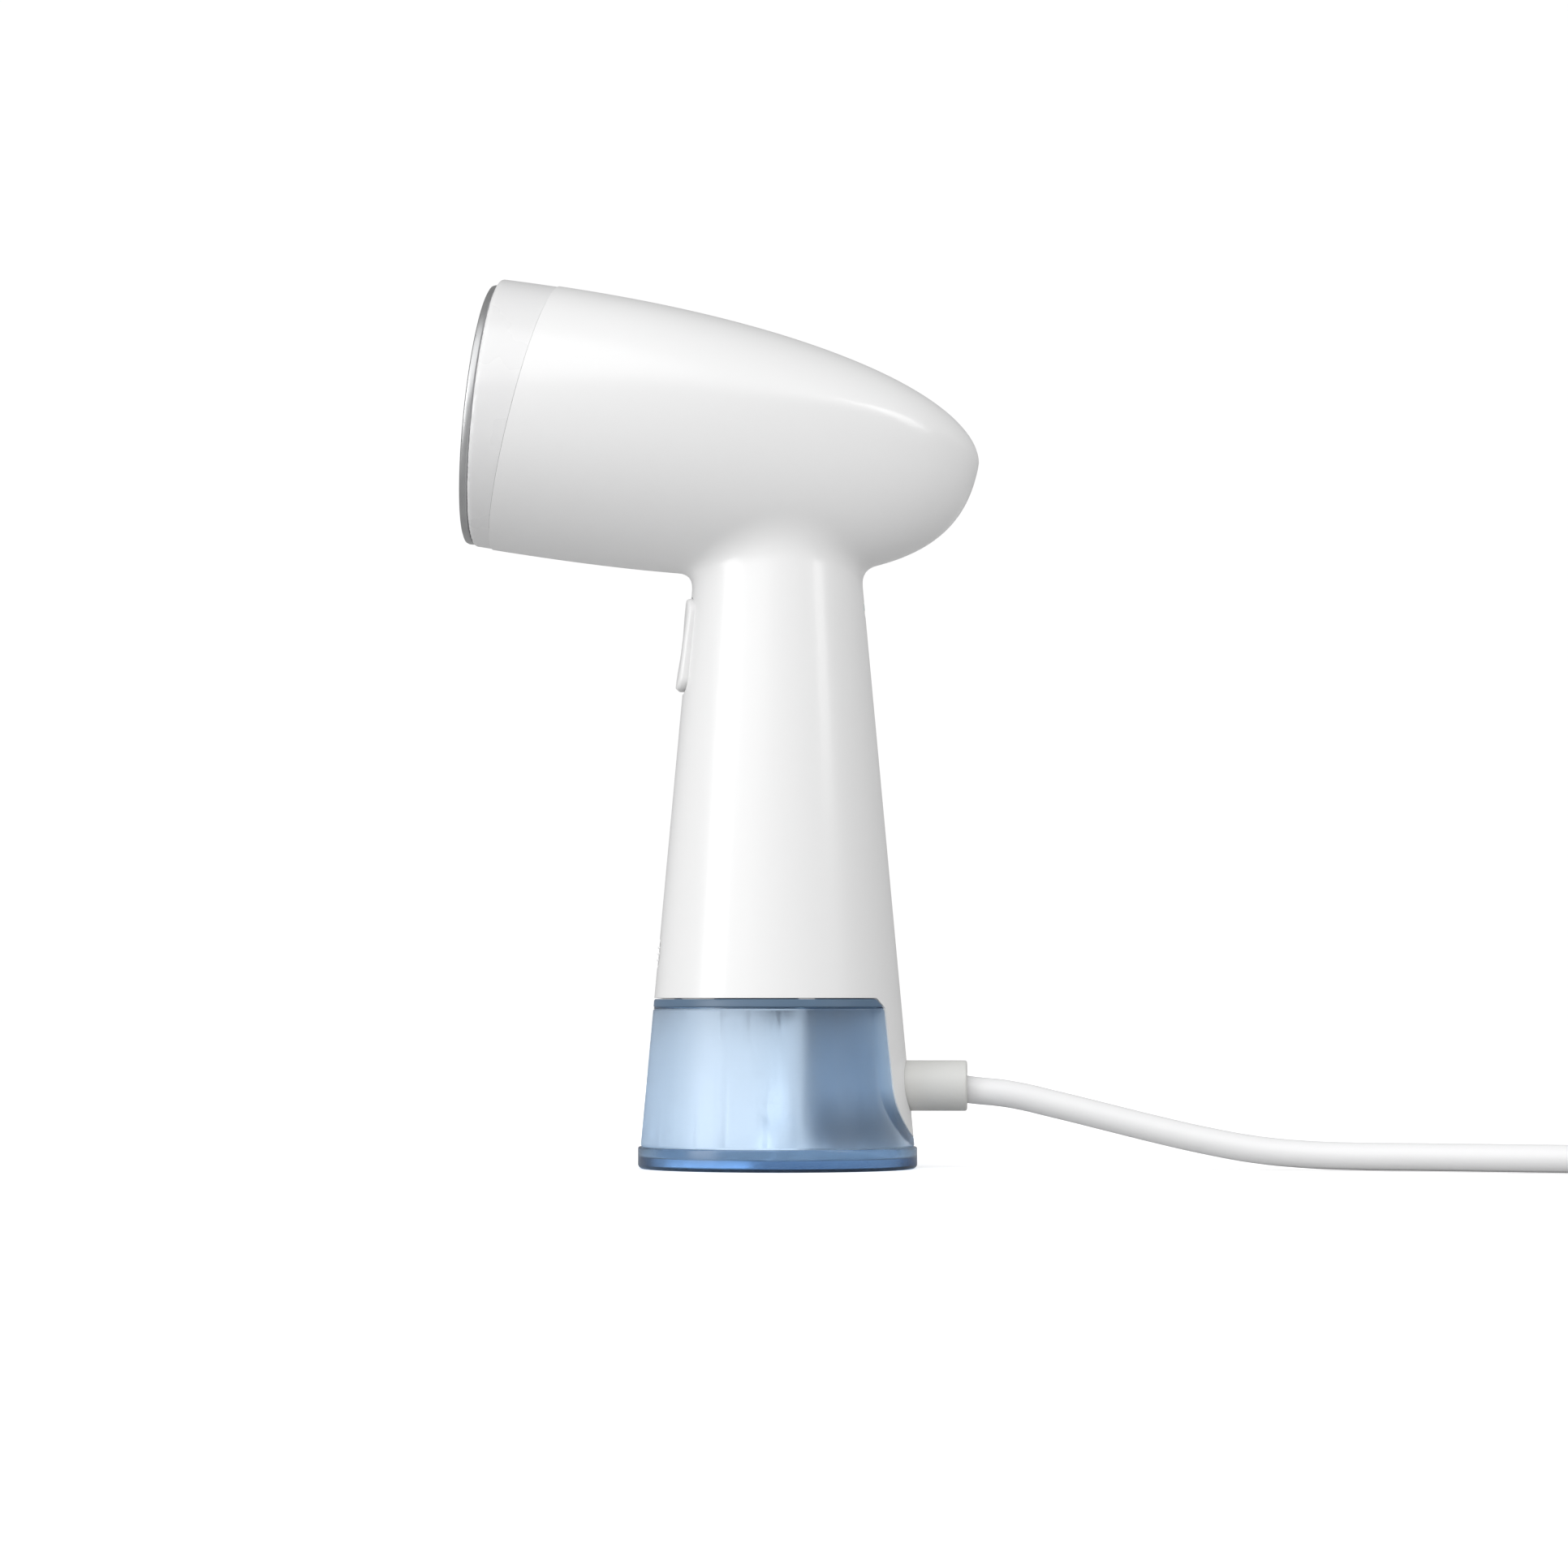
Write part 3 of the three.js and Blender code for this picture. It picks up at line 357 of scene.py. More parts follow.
def slopes(field, spot, e):
    """How fast field changes along x, y and z."""
    along = []
    for axis in range(3):
        ahead, behind = ([v + e * sign * (i == axis) for i, v in enumerate(spot)] for sign in (1, -1))
        along.append((field(*ahead) - field(*behind)) / (2 * e))
    return np.array(along)


def head_distance(x, y, z):
    """Distance to the head's surface, good near it."""
    steepness = np.sqrt((slopes(head_raw, (x, y, z), 0.05) ** 2).sum(0))
    return head_raw(x, y, z) / np.maximum(steepness, 1e-3)


def grip_distance(x, y, z):
    radius = np.sqrt(x**2 + (y / OVAL) ** 2)
    wall = (radius - grip_radius(z)) * radius / np.sqrt(x**2 + y**2 / OVAL**4 + 1e-9)
    return np.maximum(wall, z - (NOSE_Z - 4))


def casing_distance(x, y, z):
    """The head joined to the grip with a fillet."""
    a, b = head_distance(x, y, z), grip_distance(x, y, z)
    share = np.clip(0.5 + 0.5 * (b - a) / FILLET, 0, 1)
    return b * (1 - share) + a * share - FILLET * share * (1 - share)


def surface_net(field, low, high, step):
    """A quad mesh of field = 0 inside a box: one vertex in each cell that the surface crosses."""
    axes = [np.arange(a, b + step / 2, step) for a, b in zip(low, high)]
    value = field(*np.meshgrid(*axes, indexing="ij"))
    inside = value < 0
    cells = tuple(n - 1 for n in value.shape)
    total, crossings = np.zeros(cells + (3,)), np.zeros(cells)
    corners = [(i, j, k) for i in (0, 1) for j in (0, 1) for k in (0, 1)]
    window = lambda array, c: array[tuple(slice(i, i + n) for i, n in zip(c, cells))]
    for c in corners:
        for axis in range(3):
            if c[axis]:
                continue
            d = tuple(v + (i == axis) for i, v in enumerate(c))
            va, vb = window(value, c), window(value, d)
            crossed = window(inside, c) != window(inside, d)
            t = np.where(crossed, va / np.where(va == vb, 1, va - vb), 0)
            for i in range(3):
                total[..., i] += np.where(crossed, c[i] + (t if i == axis else 0), 0)
            crossings += crossed
    active = crossings > 0
    number = np.full(cells, -1)
    number[active] = np.arange(active.sum())
    points = (np.argwhere(active) + total[active] / crossings[active][:, None]) * step + np.array(low)
    faces = []
    for axis in range(3):
        first, second = [i for i in range(3) if i != axis]
        shape = [slice(1, n - 1) for n in value.shape]
        shape[axis] = slice(0, value.shape[axis] - 1)
        along = [slice(s.start, s.stop) for s in shape]
        along[axis] = slice(1, value.shape[axis])
        crossed = np.argwhere(inside[tuple(shape)] != inside[tuple(along)]) + [s.start for s in shape]
        square = []
        for da, db in ((0, 0), (1, 0), (1, 1), (0, 1)):
            at = crossed.copy()
            at[:, first] -= da
            at[:, second] -= db
            square.append(number[tuple(at.T)])
        faces.append(np.stack(square, 1))
    return points, np.concatenate(faces)


EVENING = 0.6  # share of the way that a point moves to the middle of its neighbours


def settle(points, faces, field, rounds=6):
    """Evens out a quad mesh and puts its points on field = 0."""
    edges = np.concatenate([faces[:, [i, (i + 1) % 4]] for i in range(4)])
    edges, uses = np.unique(np.sort(edges, 1), axis=0, return_counts=True)
    count = np.bincount(edges.ravel(), minlength=len(points))
    rim = np.zeros(len(points), bool)
    rim[edges[uses == 1].ravel()] = True
    for _ in range(rounds):
        mean = np.zeros_like(points)
        np.add.at(mean, edges[:, 0], points[edges[:, 1]])
        np.add.at(mean, edges[:, 1], points[edges[:, 0]])
        mean /= np.maximum(count, 1)[:, None]
        points = np.where(rim[:, None], points, points + EVENING * (mean - points))
        for _ in range(3):
            value, slope = field(*points.T), slopes(field, points.T, 0.02).T
            points = points - (value / np.maximum((slope**2).sum(1), 1e-6))[:, None] * slope
    return points


# ---- clipping with planes
# A plane is a point and a normal in millimetres; what lies on the normal's side is kept.
def slice_faces(bm, plane, keep_all=False, where=lambda c: True):
    """Cuts the faces that where accepts along a plane, and drops what lies behind it unless keep_all."""
    point, normal = MM * Vector(plane[0]), Vector(plane[1])
    faces = [f for f in bm.faces if where(f.calc_center_median() / MM)]
    edges = {e for f in faces for e in f.edges}
    verts = {v for f in faces for v in f.verts}
    geometry = list(verts) + list(edges) + faces
    bmesh.ops.bisect_plane(bm, geom=geometry, dist=1e-7, plane_co=point, plane_no=normal)
    if not keep_all:
        behind = lambda c: (c - point).dot(normal) < 0 and where(c / MM)
        dropped = [f for f in bm.faces if behind(f.calc_center_median())]
        bmesh.ops.delete(bm, geom=dropped, context="FACES")


def punch(bm, corners, axes, where):
    """Makes a hole of convex outline, through the faces that where accepts. Its corners are in two axes."""
    spots = [Vector() for _ in corners]
    for spot, corner in zip(spots, corners):
        spot[axes[0]], spot[axes[1]] = corner
    middle = sum(spots, Vector()) / len(spots)
    through = Vector(float(i not in axes) for i in range(3))
    reach = 0.75 * max(math.dist(a, b) for a in corners for b in corners)
    flat = lambda c: Vector(c) * (Vector((1, 1, 1)) - through)
    near = lambda c: where(c) and (flat(c) - middle).length < reach
    planes = []
    for here, there in zip(spots, spots[1:] + spots[:1]):
        normal = (there - here).cross(through).normalized()
        planes.append((here, normal if normal.dot(middle - here) > 0 else -normal))
        slice_faces(bm, planes[-1], keep_all=True, where=near)
    inside = lambda c: where(c) and all((c - spot).dot(normal) > 0 for spot, normal in planes)
    holes = [f for f in bm.faces if inside(f.calc_center_median() / MM)]
    bmesh.ops.delete(bm, geom=holes, context="FACES")


def pill_corners(half, low, high, corner, steps=6):
    """A rounded rectangle as (y, z) corners."""
    y, z = half - corner, (low + corner, high - corner)
    points = []
    for i, middle in enumerate(((y, z[0]), (y, z[1]), (-y, z[1]), (-y, z[0]))):
        points += [around(middle, corner, 90 * (i - 1 + k / steps)) for k in range(steps + 1)]
    return points


# ---- casing
SEAM_PLANE = ((SEAM_X + SEAM_LINE, 0, SEAM_Z), (math.cos(SEAM_TILT), 0, -math.sin(SEAM_TILT)))
NET_STEP, BEZEL_STEP = ((1.2, 0.8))


def skin_mesh(field, low, high, step, rounds=6):
    """The surface field = 0 inside a box, ready to be cut."""
    points, faces = surface_net(field, low, high, step)
    data = bpy.data.meshes.new("skin")
    data.from_pydata(settle(points, faces, field, rounds) * MM, [], faces.tolist())
    bm = opened(data)
    bpy.data.meshes.remove(data)
    bmesh.ops.recalc_face_normals(bm, faces=bm.faces)
    return bm


def casing_skin():
    """The outer skin of the casing's left half, open where the part is open."""
    low, high = (HEAD_FRONT_X + 8, -40.0, 4.0), (NOSE_X + 3, 1.6, 244.0)
    bm = skin_mesh(casing_distance, low, high, NET_STEP)
    slice_faces(bm, SEAM_PLANE)
    slice_faces(bm, ((0, -SEAM_LINE / 2, 0), (0, -1, 0)))
    cut_round_tank(bm)
    front, rear = lambda c: c.x < -15 and 40 < c.z < 160, lambda c: c.x > 15
    trigger_hole = (TRIGGER_HALF + 0.4, TRIGGER_LOW - TRIGGER_ROOM, TRIGGER_HIGH + 0.4, 4)
    tall = RELEASE_TALL + 0.3
    release_hole = (RELEASE_HALF + 0.3, RELEASE_Z - tall, RELEASE_Z + tall, 3.5)
    for hole in (trigger_hole, release_hole):
        punch(bm, pill_corners(*hole), (1, 2), front)
    punch(bm, circle_corners(0, LENS_Z, LENS_R + 0.15, 20), (1, 2), lambda c: rear(c) and c.z > 140)
    punch(bm, circle_corners(0, COLUMN_Z, GUARD_R + 0.35, 36), (1, 2), lambda c: rear(c) and c.z < 40)
    bmesh.ops.remove_doubles(bm, verts=bm.verts, dist=0.05 * MM)
    bmesh.ops.recalc_face_normals(bm, faces=bm.faces)
    return bm


def cut_round_tank(bm, steps=24):
    """Leaves of the grip below the tank's top only the strip that is the column's rear wall."""
    flare_z = COLUMN_TOP_Z - COLUMN_FLARE
    below = lambda c: c.z < CASE_BOTTOM_Z
    slice_faces(bm, ((0, 0, CASE_BOTTOM_Z), (0, 0, 1)), keep_all=True)
    slice_faces(bm, ((COLUMN_X, 0, 0), (1, 0, 0)), where=below)
    slice_faces(bm, ((0, 0, flare_z), (0, 0, 1)), keep_all=True, where=below)
    slice_faces(bm, ((0, -COLUMN_HALF, flare_z), (0, 1, 1)), where=lambda c: flare_z < c.z < CASE_BOTTOM_Z)
    for degrees in [90 * (i + 0.5) / steps for i in range(steps)] + [0]:
        a = math.radians(degrees)
        spot = (0, -COLUMN_HALF * math.cos(a), COLUMN_Z - COLUMN_HALF * math.sin(a))
        slice_faces(bm, (spot, (0, math.cos(a), math.sin(a))), where=lambda c: c.z < flare_z)


def thicken(bm):
    """Gives a skin its inner side, a wall's thickness in, and its rims."""
    bm.normal_update()
    rim_edges = [e for e in bm.edges if e.is_boundary]
    outside = list(bm.faces)
    inner = {v: bm.verts.new(v.co - v.normal * WALL * MM) for v in list(bm.verts)}
    for f in outside:
        bm.faces.new([inner[v] for v in reversed(f.verts)])
    for e in rim_edges:
        loop = e.link_loops[0]
        a, b = loop.vert, loop.link_loop_next.vert
        bm.faces.new([b, a, inner[a], inner[b]])
    bm.normal_update()
    return bm


def casing_half(name, skin, side):
    """One half of the casing with its wall and its part of the column; the right one has the screw holes."""
    bm = skin.copy()
    if side > 0:
        bmesh.ops.scale(bm, vec=(1, -1, 1), verts=bm.verts)
        bmesh.ops.reverse_faces(bm, faces=bm.faces)
        for x, z in SCREWS:
            punch(bm, circle_corners(x, z, SCREW_HOLE_R, 28), (0, 2), lambda c: c.y > 1)
    data = filled(bpy.data.meshes.new(name), thicken(bm))
    piece = added(name, smoothed(data, 40))
    join(piece, column_half(side))
    if side > 0:
        join(piece, *[screw_post(x, z) for x, z in SCREWS])
    return piece


# ---- column behind the tank
def front_edge(radius, steps=8):
    """The (inset, x) steps of a rounded upright front edge, from the side wall to the front wall."""
    return [(radius * (1 - math.cos(a)), radius * (1 - math.sin(a))) for a in quarter(steps)]


def column_outline(grow=0.0, flare=True, steps=20):
    """Half of the column's outline as (y, z), from its top down to its lowest point."""
    half = COLUMN_HALF + grow
    slope = COLUMN_FLARE if flare else 0.0
    points = [(half + slope, CASE_BOTTOM_Z + 0.6), (half + slope, COLUMN_TOP_Z), (half, COLUMN_TOP_Z - slope)]
    return points + [(half * math.cos(a), COLUMN_Z - half * math.sin(a)) for a in quarter(steps)]


def wall_x(y, z):
    """Where the grip's rear surface is at a given y and z."""
    return math.sqrt(max(grip_radius(z) ** 2 - (y / OVAL) ** 2, 1.0))


def column_half(side):
    """The column's side, foot and front walls on one side of the split, as one closed sheet."""
    outer = column_outline()
    edges = [(column_outline(grow=-inset), COLUMN_X + x) for inset, x in front_edge(COLUMN_ROUND)]
    inner = column_outline(grow=-COLUMN_ROUND, flare=False)
    depth = COLUMN_X + COLUMN_WALL
    rows = []
    for i, ((y, z), (u, w)) in enumerate(zip(outer, inner)):
        reach = wall_x(y, z) - COLUMN_LAP
        floor_z = z + (COLUMN_WALL if z < COLUMN_Z else 0)
        row = [
            (y, z, reach + 0.45),
            *[(*outline[i], x) for outline, x in edges],
            (0, max(edges[-1][0][i][1], COLUMN_Z), COLUMN_X),
            (0, max(w, COLUMN_Z), depth),
            (u, w, depth),
            (u, w, depth + 3),
            (y - COLUMN_WALL if y > COLUMN_WALL else 0, floor_z, reach),
        ]
        rows.append([(x, side * max(y, SEAM_LINE / 2), z) for y, z, x in row])
    return lofted("column", rows)


# ---- screw posts on the right half
def casing_side(x, z):
    """The y of the casing's right surface at x and z."""
    low, high = 0.0, 45.0
    for _ in range(30):  # halves the span that holds the surface
        middle = (low + high) / 2
        inside = casing_distance(np.array([x]), np.array([middle]), np.array([z]))[0] < 0
        low, high = (middle, high) if inside else (low, middle)
    return low


def screw_post(x, z, count=28):
    """The tube that a screw goes down, closed round its shank and ending under the casing's skin."""
    shank, outside, start = 1.75, 4.2, 0.4
    skin_y = lambda px, pz: casing_side(px, pz) - 0.9
    rings = []
    for radius, y in (
        (shank, start), (outside, start), (outside, None),
        (SCREW_HOLE_R, None), (SCREW_HOLE_R, SCREW_SEAT_Y), (shank, SCREW_SEAT_Y),
    ):
        corners = circle_corners(x, z, radius, count)
        rings.append([(px, skin_y(px, pz) if y is None else y, pz) for px, pz in corners])
    return lofted("post", rings, closed=True)


# ---- small parts
FACE = Matrix.Translation((PLATE_X, 0, PLATE_Z)) @ Matrix.Rotation(PLATE_TILT, 4, "Y")
ALONG_X = Matrix(((0, 0, 1, 0), (1, 0, 0, 0), (0, 1, 0, 0), (0, 0, 0, 1)))  # Z of a turned profile becomes X


def turned(name, profile, matrix=None, count=64, smooth_angle=SHARP_ANGLE):
    """A profile of (radius, height) points turned about Z, closed at the axis or back on itself."""
    closed = profile[0] == profile[-1]
    rings = []
    for r, z in profile[:-1] if closed else profile:
        rings.append([(x, y, z) for x, y in circle_corners(0, 0, r, count)])
    return lofted(name, rings, smooth_angle, closed, matrix)


def rounded(profile, radius, steps=4):
    """Rounds off every corner of an open or closed (radius, height) profile."""
    closed = profile[0] == profile[-1]
    corners = profile[:-1] if closed else profile
    result = []
    for i, here in enumerate(corners):
        if not closed and i in (0, len(corners) - 1):
            result.append(here)
            continue
        before, after = corners[i - 1], corners[(i + 1) % len(corners)]
        a, b, c = Vector(before), Vector(here), Vector(after)
        to_a, to_c = a - b, c - b
        reach = min(radius, 0.45 * to_a.length, 0.45 * to_c.length)
        start, end = b + to_a.normalized() * reach, b + to_c.normalized() * reach
        for k in range(steps + 1):
            t = k / steps
            result.append(tuple((1 - t) ** 2 * start + 2 * (1 - t) * t * b + t * t * end))
    return result + [result[0]] if closed else result


def bevel(piece, width, segments=3, angle=40):
    """Rounds off the edges where faces turn by more than an angle."""
    modifier = piece.modifiers.new("bevel", "BEVEL")
    modifier.width = width * MM
    modifier.segments = segments
    modifier.limit_method = "ANGLE"
    modifier.angle_limit = math.radians(angle)
    return apply_modifiers(piece)


def block(name, low, high, round_off=0.4):
    """A block with rounded edges between two corners."""
    return bevel(upright(name, rectangle(low, high), low[2], high[2]), round_off)


def join(target, *others):
    """Moves the others' meshes into target, without merging their solids."""
    filled(target.data, opened(target.data, *[other.data for other in others]))
    for other in others:
        bpy.data.objects.remove(other)
    return target


# ---- tank
def slot_outline(grow, flare=True):
    half = column_outline(grow, flare, 24)
    half[0] = (half[0][0], CASE_BOTTOM_Z + 6)
    return half + [(-y, z) for y, z in reversed(half[:-1])]


def slot_cutter(grow=COLUMN_CLEARANCE, front=SLOT_FRONT, flare=True):
    """The column's slot, grown by a clearance, with the column's rounded front edges."""
    edges = reversed(front_edge(COLUMN_ROUND + grow))
    outlines = [(slot_outline(grow - inset, flare), front + x) for inset, x in edges]
    outlines.append((slot_outline(grow, flare), 60.0))
    return lofted("slot", [[(x, y, z) for y, z in outline] for outline, x in outlines])


def tank_slice(name, low, high, edge):
    """A slice of the tank's tapered oval, with a narrow chamfer round its lower and upper edge."""
    profile = [(AXIS, low), (grip_radius(low) - edge, low)]
    profile += [(grip_radius(z), z) for z in (low + edge, high - edge)]
    profile += [(grip_radius(high) - edge, high), (AXIS, high)]
    return turned_oval(name, profile)


def tank_body():
    low, high = FOOT_HEIGHT + 0.05, LID_LOW_Z - WELD
    body = tank_slice("tank_body", low, high, 0.4)
    inside = [(grip_radius(z) - TANK_WALL, z) for z in (low - 1, high + 1)]
    hollow = turned_oval("hollow", [(AXIS, low - 1), *inside, (AXIS, high + 1)])
    cut_away(hollow, slot_cutter(COLUMN_CLEARANCE + TANK_WALL, SLOT_FRONT - TANK_WALL, False))
    cut_away(body, slot_cutter(), hollow)
    return bevel(body, 0.3, 2, 55)


def weld_line():
    """The dark line where the lid is welded on."""
    rings = [(grip_radius(z) - 0.12, z) for z in (LID_LOW_Z - WELD, LID_LOW_Z)]
    rings += [(r - TANK_WALL, z) for r, z in reversed(rings)]
    line = lofted("weld_line", [oval_ring(r, z) for r, z in rings], closed=True)
    return cut_away(line, slot_cutter())


def tank_cover():
    """The lid with its holes for the pump's inlet, the filler plug and the latch."""
    cover = tank_slice("tank_cover", LID_LOW_Z, TANK_TOP_Z, 0.3)
    cut_away(
        cover,
        slot_cutter(),
        upright("inlet", circle_corners(0, 0, 6.1, 48)),
        upright("filler", circle_corners(FILLER_X, FILLER_Y, 6.4, 48)),
        upright("latch", rectangle((-29.6, -4.6), (-23.4, 4.6))),
    )
    return bevel(cover, 0.25, 2, 55)


def tank_base():
    r, h, rim = FOOT_RADIUS, FOOT_HEIGHT, FOOT_RADIUS - 3.6
    profile = [(AXIS, 0), (r - 0.8, 0), (r, 0.8), (r, h), (rim, h), (rim, 3), (AXIS, 3)]
    return turned_oval("tank_base", rounded(profile, 0.5, 3))


# ---- steam plate and bezel
def steam_face():
    """The metal plate with its rounded edge, a shallow groove and the countersunk outlets."""
    r, t = PLATE_WIDTH, PLATE_THICK
    face = [(AXIS, 0), (27.2, 0), (27.9, 0.5), (29.4, 0.5), (30.1, 0)]
    edge = [(r - 0.9, 0), (r - 0.25, 0.3), (r, 0.95), (r, t - 0.4), (r - 0.4, t)]
    neck = [(27.4, t), (27.4, 6.1), (27, 6.5), (AXIS, 6.5)]
    rings = []
    for radius, depth in face + edge + neck:
        corners = circle_corners(0, 0, radius, 160)
        rings.append([(depth, y, z * PLATE_HEIGHT / PLATE_WIDTH) for y, z in corners])
    plate = lofted("plate", rings)
    outlets = []
    for number, ring_radius in OUTLET_RINGS:
        for i in range(number):
            y, z = around((0, 0), ring_radius, (i + 0.5) * 360 / number)
            profile = [(2.3, -1), (2.3, 0.0), (1.5, 0.8), (1.5, 8)]
            rings = [[(depth, *c) for c in circle_corners(y, z, radius)] for radius, depth in profile]
            outlets.append(lofted("outlet", rings))
    cut_away(plate, join(*outlets))
    plate.data.transform(Matrix.Scale(MM, 4) @ FACE @ Matrix.Scale(1 / MM, 4))
    return plate


def bezel_distance(x, y, z):
    """The bezel's outside: the head drawn in slightly, cut by the face plane with a rounded edge."""
    behind = (x - PLATE_X) * math.cos(PLATE_TILT) - (z - PLATE_Z) * math.sin(PLATE_TILT)
    a = head_distance(x, y, z) + BEZEL_INSET + BEZEL_EDGE
    b = PLATE_THICK + SEAM_LINE - behind + BEZEL_EDGE
    corner = np.sqrt(np.maximum(a, 0) ** 2 + np.maximum(b, 0) ** 2)
    return np.minimum(np.maximum(a, b), 0) + corner - BEZEL_EDGE


def bezel():
    low, high = (PLATE_X - 4, -38.0, 160.0), (SEAM_X + 12, 38.0, 246.0)
    bm = skin_mesh(bezel_distance, low, high, BEZEL_STEP, 4)
    slice_faces(bm, ((SEAM_X, 0, SEAM_Z), (-math.cos(SEAM_TILT), 0, math.sin(SEAM_TILT))))
    face_side = FACE.inverted()
    off_centre = lambda c: (face_side @ (c / MM)).yz.length
    hole = [f for f in bm.faces if off_centre(f.calc_center_median()) < BEZEL_OPENING]
    bmesh.ops.delete(bm, geom=hole, context="FACES")
    return finish_mesh("bezel", filled(bpy.data.meshes.new("bezel"), thicken(bm)), 40)


# ---- buttons
PAD_EDGE = 0.9  # radius of a pad's rim


def push_button(name, half, low, high, corner, depth, surface):
    """A rounded pad whose face is surface(y, z), an x, with softened edges and side walls."""
    outline = pill_corners(half, low, high, corner, 8)
    middle = (low + high) / 2
    shrunk = lambda share, drop: [(share * y, middle + share * (z - middle), drop) for y, z in outline]
    rings = [shrunk(share, 0.0) for share in (0.0, 0.12, 0.35, 0.6, 0.8, 0.9)]
    for degrees in range(15, 91, 15):
        a = math.radians(degrees)
        inwards, drop = PAD_EDGE * (1 - math.sin(a)), PAD_EDGE * (1 - math.cos(a))
        rings.append([
            (y - math.copysign(min(inwards, abs(y)), y), z - math.copysign(inwards, z - middle), drop)
            for y, z in outline
        ])
    rings += [shrunk(1, depth), shrunk(0.2, depth)]
    return lofted(name, [[(surface(y, z) + drop, y, z) for y, z, drop in ring] for ring in rings], 50)


def trigger_surface(y, z):
    """A cone that stands out from the grip, more at its lower end, with a shallow finger hollow."""
    share = (z - TRIGGER_LOW) / (TRIGGER_HIGH - TRIGGER_LOW)
    radius = grip_radius(z) + 2.1 - 0.7 * share - 0.45 * math.sin(math.pi * min(1, max(0, share))) ** 2
    return -math.sqrt(max(radius**2 - (y / OVAL) ** 2, 1))


def trigger():
    pad = push_button("trigger", TRIGGER_HALF, TRIGGER_LOW, TRIGGER_HIGH, 3.6, 3.4, trigger_surface)
    arm = block("arm", (-22.4, -5, 147.6), (-16.2, 5, 151.8))
    finger = block("finger", (-23.6, -1.5, 134.6), (-17.5, 1.5, 139.4), 0.3)
    profile = rounded([(1.3, -5), (2.6, -5), (2.6, 5), (1.3, 5), (1.3, -5)], 0.2, 2)
    across = Matrix.Translation((-17.5, 0, 150)) @ Matrix.Rotation(math.radians(90), 4, "X")
    return join(pad, arm, finger, turned("eye", profile, across, 32))


def release_surface(y, z):
    return 0.1 - math.sqrt(grip_radius(z) ** 2 - (y / OVAL) ** 2)


def release_button():
    low, high = RELEASE_Z - RELEASE_TALL, RELEASE_Z + RELEASE_TALL
    pad = push_button("release", RELEASE_HALF, low, high, 3.2, 4.4, release_surface)
    ribs = []
    for i in (-1, 0, 1):
        z = RELEASE_Z + 1.7 * i
        x = release_surface(0, z)
        ribs.append(block("rib", (x - 0.28, -3.2, z - 0.32), (x + 0.8, 3.2, z + 0.32), 0.2))
    stem = block("stem", (-29, -3, RELEASE_Z - 2.5), (-25.4, 3, RELEASE_Z + 2.5), 0.3)
    latch = block("latch", (-27.4, -3.6, 43.4), (-25.9, 3.6, RELEASE_Z), 0.3)
    return join(pad, *ribs, stem, latch)


# ---- lens, pickup tube, filter and cord guard
def lens():
    end = grip_radius(LENS_Z)
    profile = [(AXIS, 20.4), (LENS_R, 20.4), (LENS_R, end - 0.7), (1.6, end - 0.15), (AXIS, end)]
    return turned("lens", rounded(profile, 0.4), Matrix.Translation((0, 0, LENS_Z)) @ ALONG_X)


def pickup_tube():
    return turned("tube", rounded([(1.6, 13.2), (2.6, 13.2), (2.6, 41.2), (1.6, 41.2), (1.6, 13.2)], 0.3, 2))


def pickup_filter():
    return turned("filter", rounded([(AXIS, 6.6), (4.4, 6.6), (4.4, 11), (3, 12.9), (AXIS, 12.9)], 0.5))


def cord_guard():
    """The guard with its flange, and the bore that the cord goes through."""
    outside = [(4.15, 27.4), (9, 27.4), (9, 29.7), (GUARD_R, 29.7), (GUARD_R, GUARD_END)]
    profile = rounded(outside + [(5.0, GUARD_END), (4.3, 46), (4.15, 27.4)], 0.7)
    return turned("guard", profile, Matrix.Translation((0, 0, COLUMN_Z)) @ ALONG_X, 96)


# ---- springs
UP, BACK = (0, 0, 1), (1, 0, 0)
# name, CAD node, bodies at its low and far end, low end, direction, length, radius, turns, wire's radius
SPRINGS = [
    ("trigger_return", "trigger_spring", "trigger", "housing", (-22.9, 0, 130.3), BACK, 7.8, 2, 4, 0.28),
    ("release_return", "release_spring", "release", "housing", (-25.1, 0, 57.5), BACK, 4.2, 2, 3, 0.28),
    ("pump_return", "plunger_spring", "housing", "plunger", (0, 0, 75), UP, 8, 3, 4, 0.35),
]


def spring(name, low, direction, length, radius, turns, wire):
    """A compression spring with its end turns laid flat."""
    steps = turns * 28
    rings = []
    for i in range(steps + 1):
        t = i / steps
        a = 2 * math.pi * turns * t
        x = wire + (length - 2 * wire) * (t - 0.6 * math.sin(2 * math.pi * t) / (2 * math.pi))
        sections = circle_corners(0, 0, wire, 10)
        rings.append([(x + v, (radius + u) * math.cos(a), (radius + u) * math.sin(a)) for u, v in sections])
    turn = Matrix.Rotation(math.radians(-90), 4, "Y") if direction == UP else Matrix.Identity(4)
    return lofted(name, rings, 50, matrix=Matrix.Translation(low) @ turn)


# ---- plug and coil tie
def superellipse(half, tall, power, count=56):
    bent = lambda v: math.copysign(abs(v) ** power, v)
    return [(half * bent(x), tall * bent(y)) for x, y in circle_corners(0, 0, 1, count)]


# distance from the cord's end, half width and half height
PLUG_SECTIONS = [
    (0.6, 3.9, 3.9), (0.9, 4.1, 4.1), (23.6, 5.2, 5.2), (24.4, 5.8, 5.8), (26, 6.3, 6.2), (31, 7.0, 6.7),
    (36, 8.6, 7.5), (42, 12.0, 8.9), (48, 15.4, 10.2), (54, 17.6, 11.5), (58.6, 17.9, 11.7),
    (59.5, 17.7, 11.5), (60, 17.0, 10.9),
]
SECTION_STEP = 1.5
PIN_SPACING = 19.0


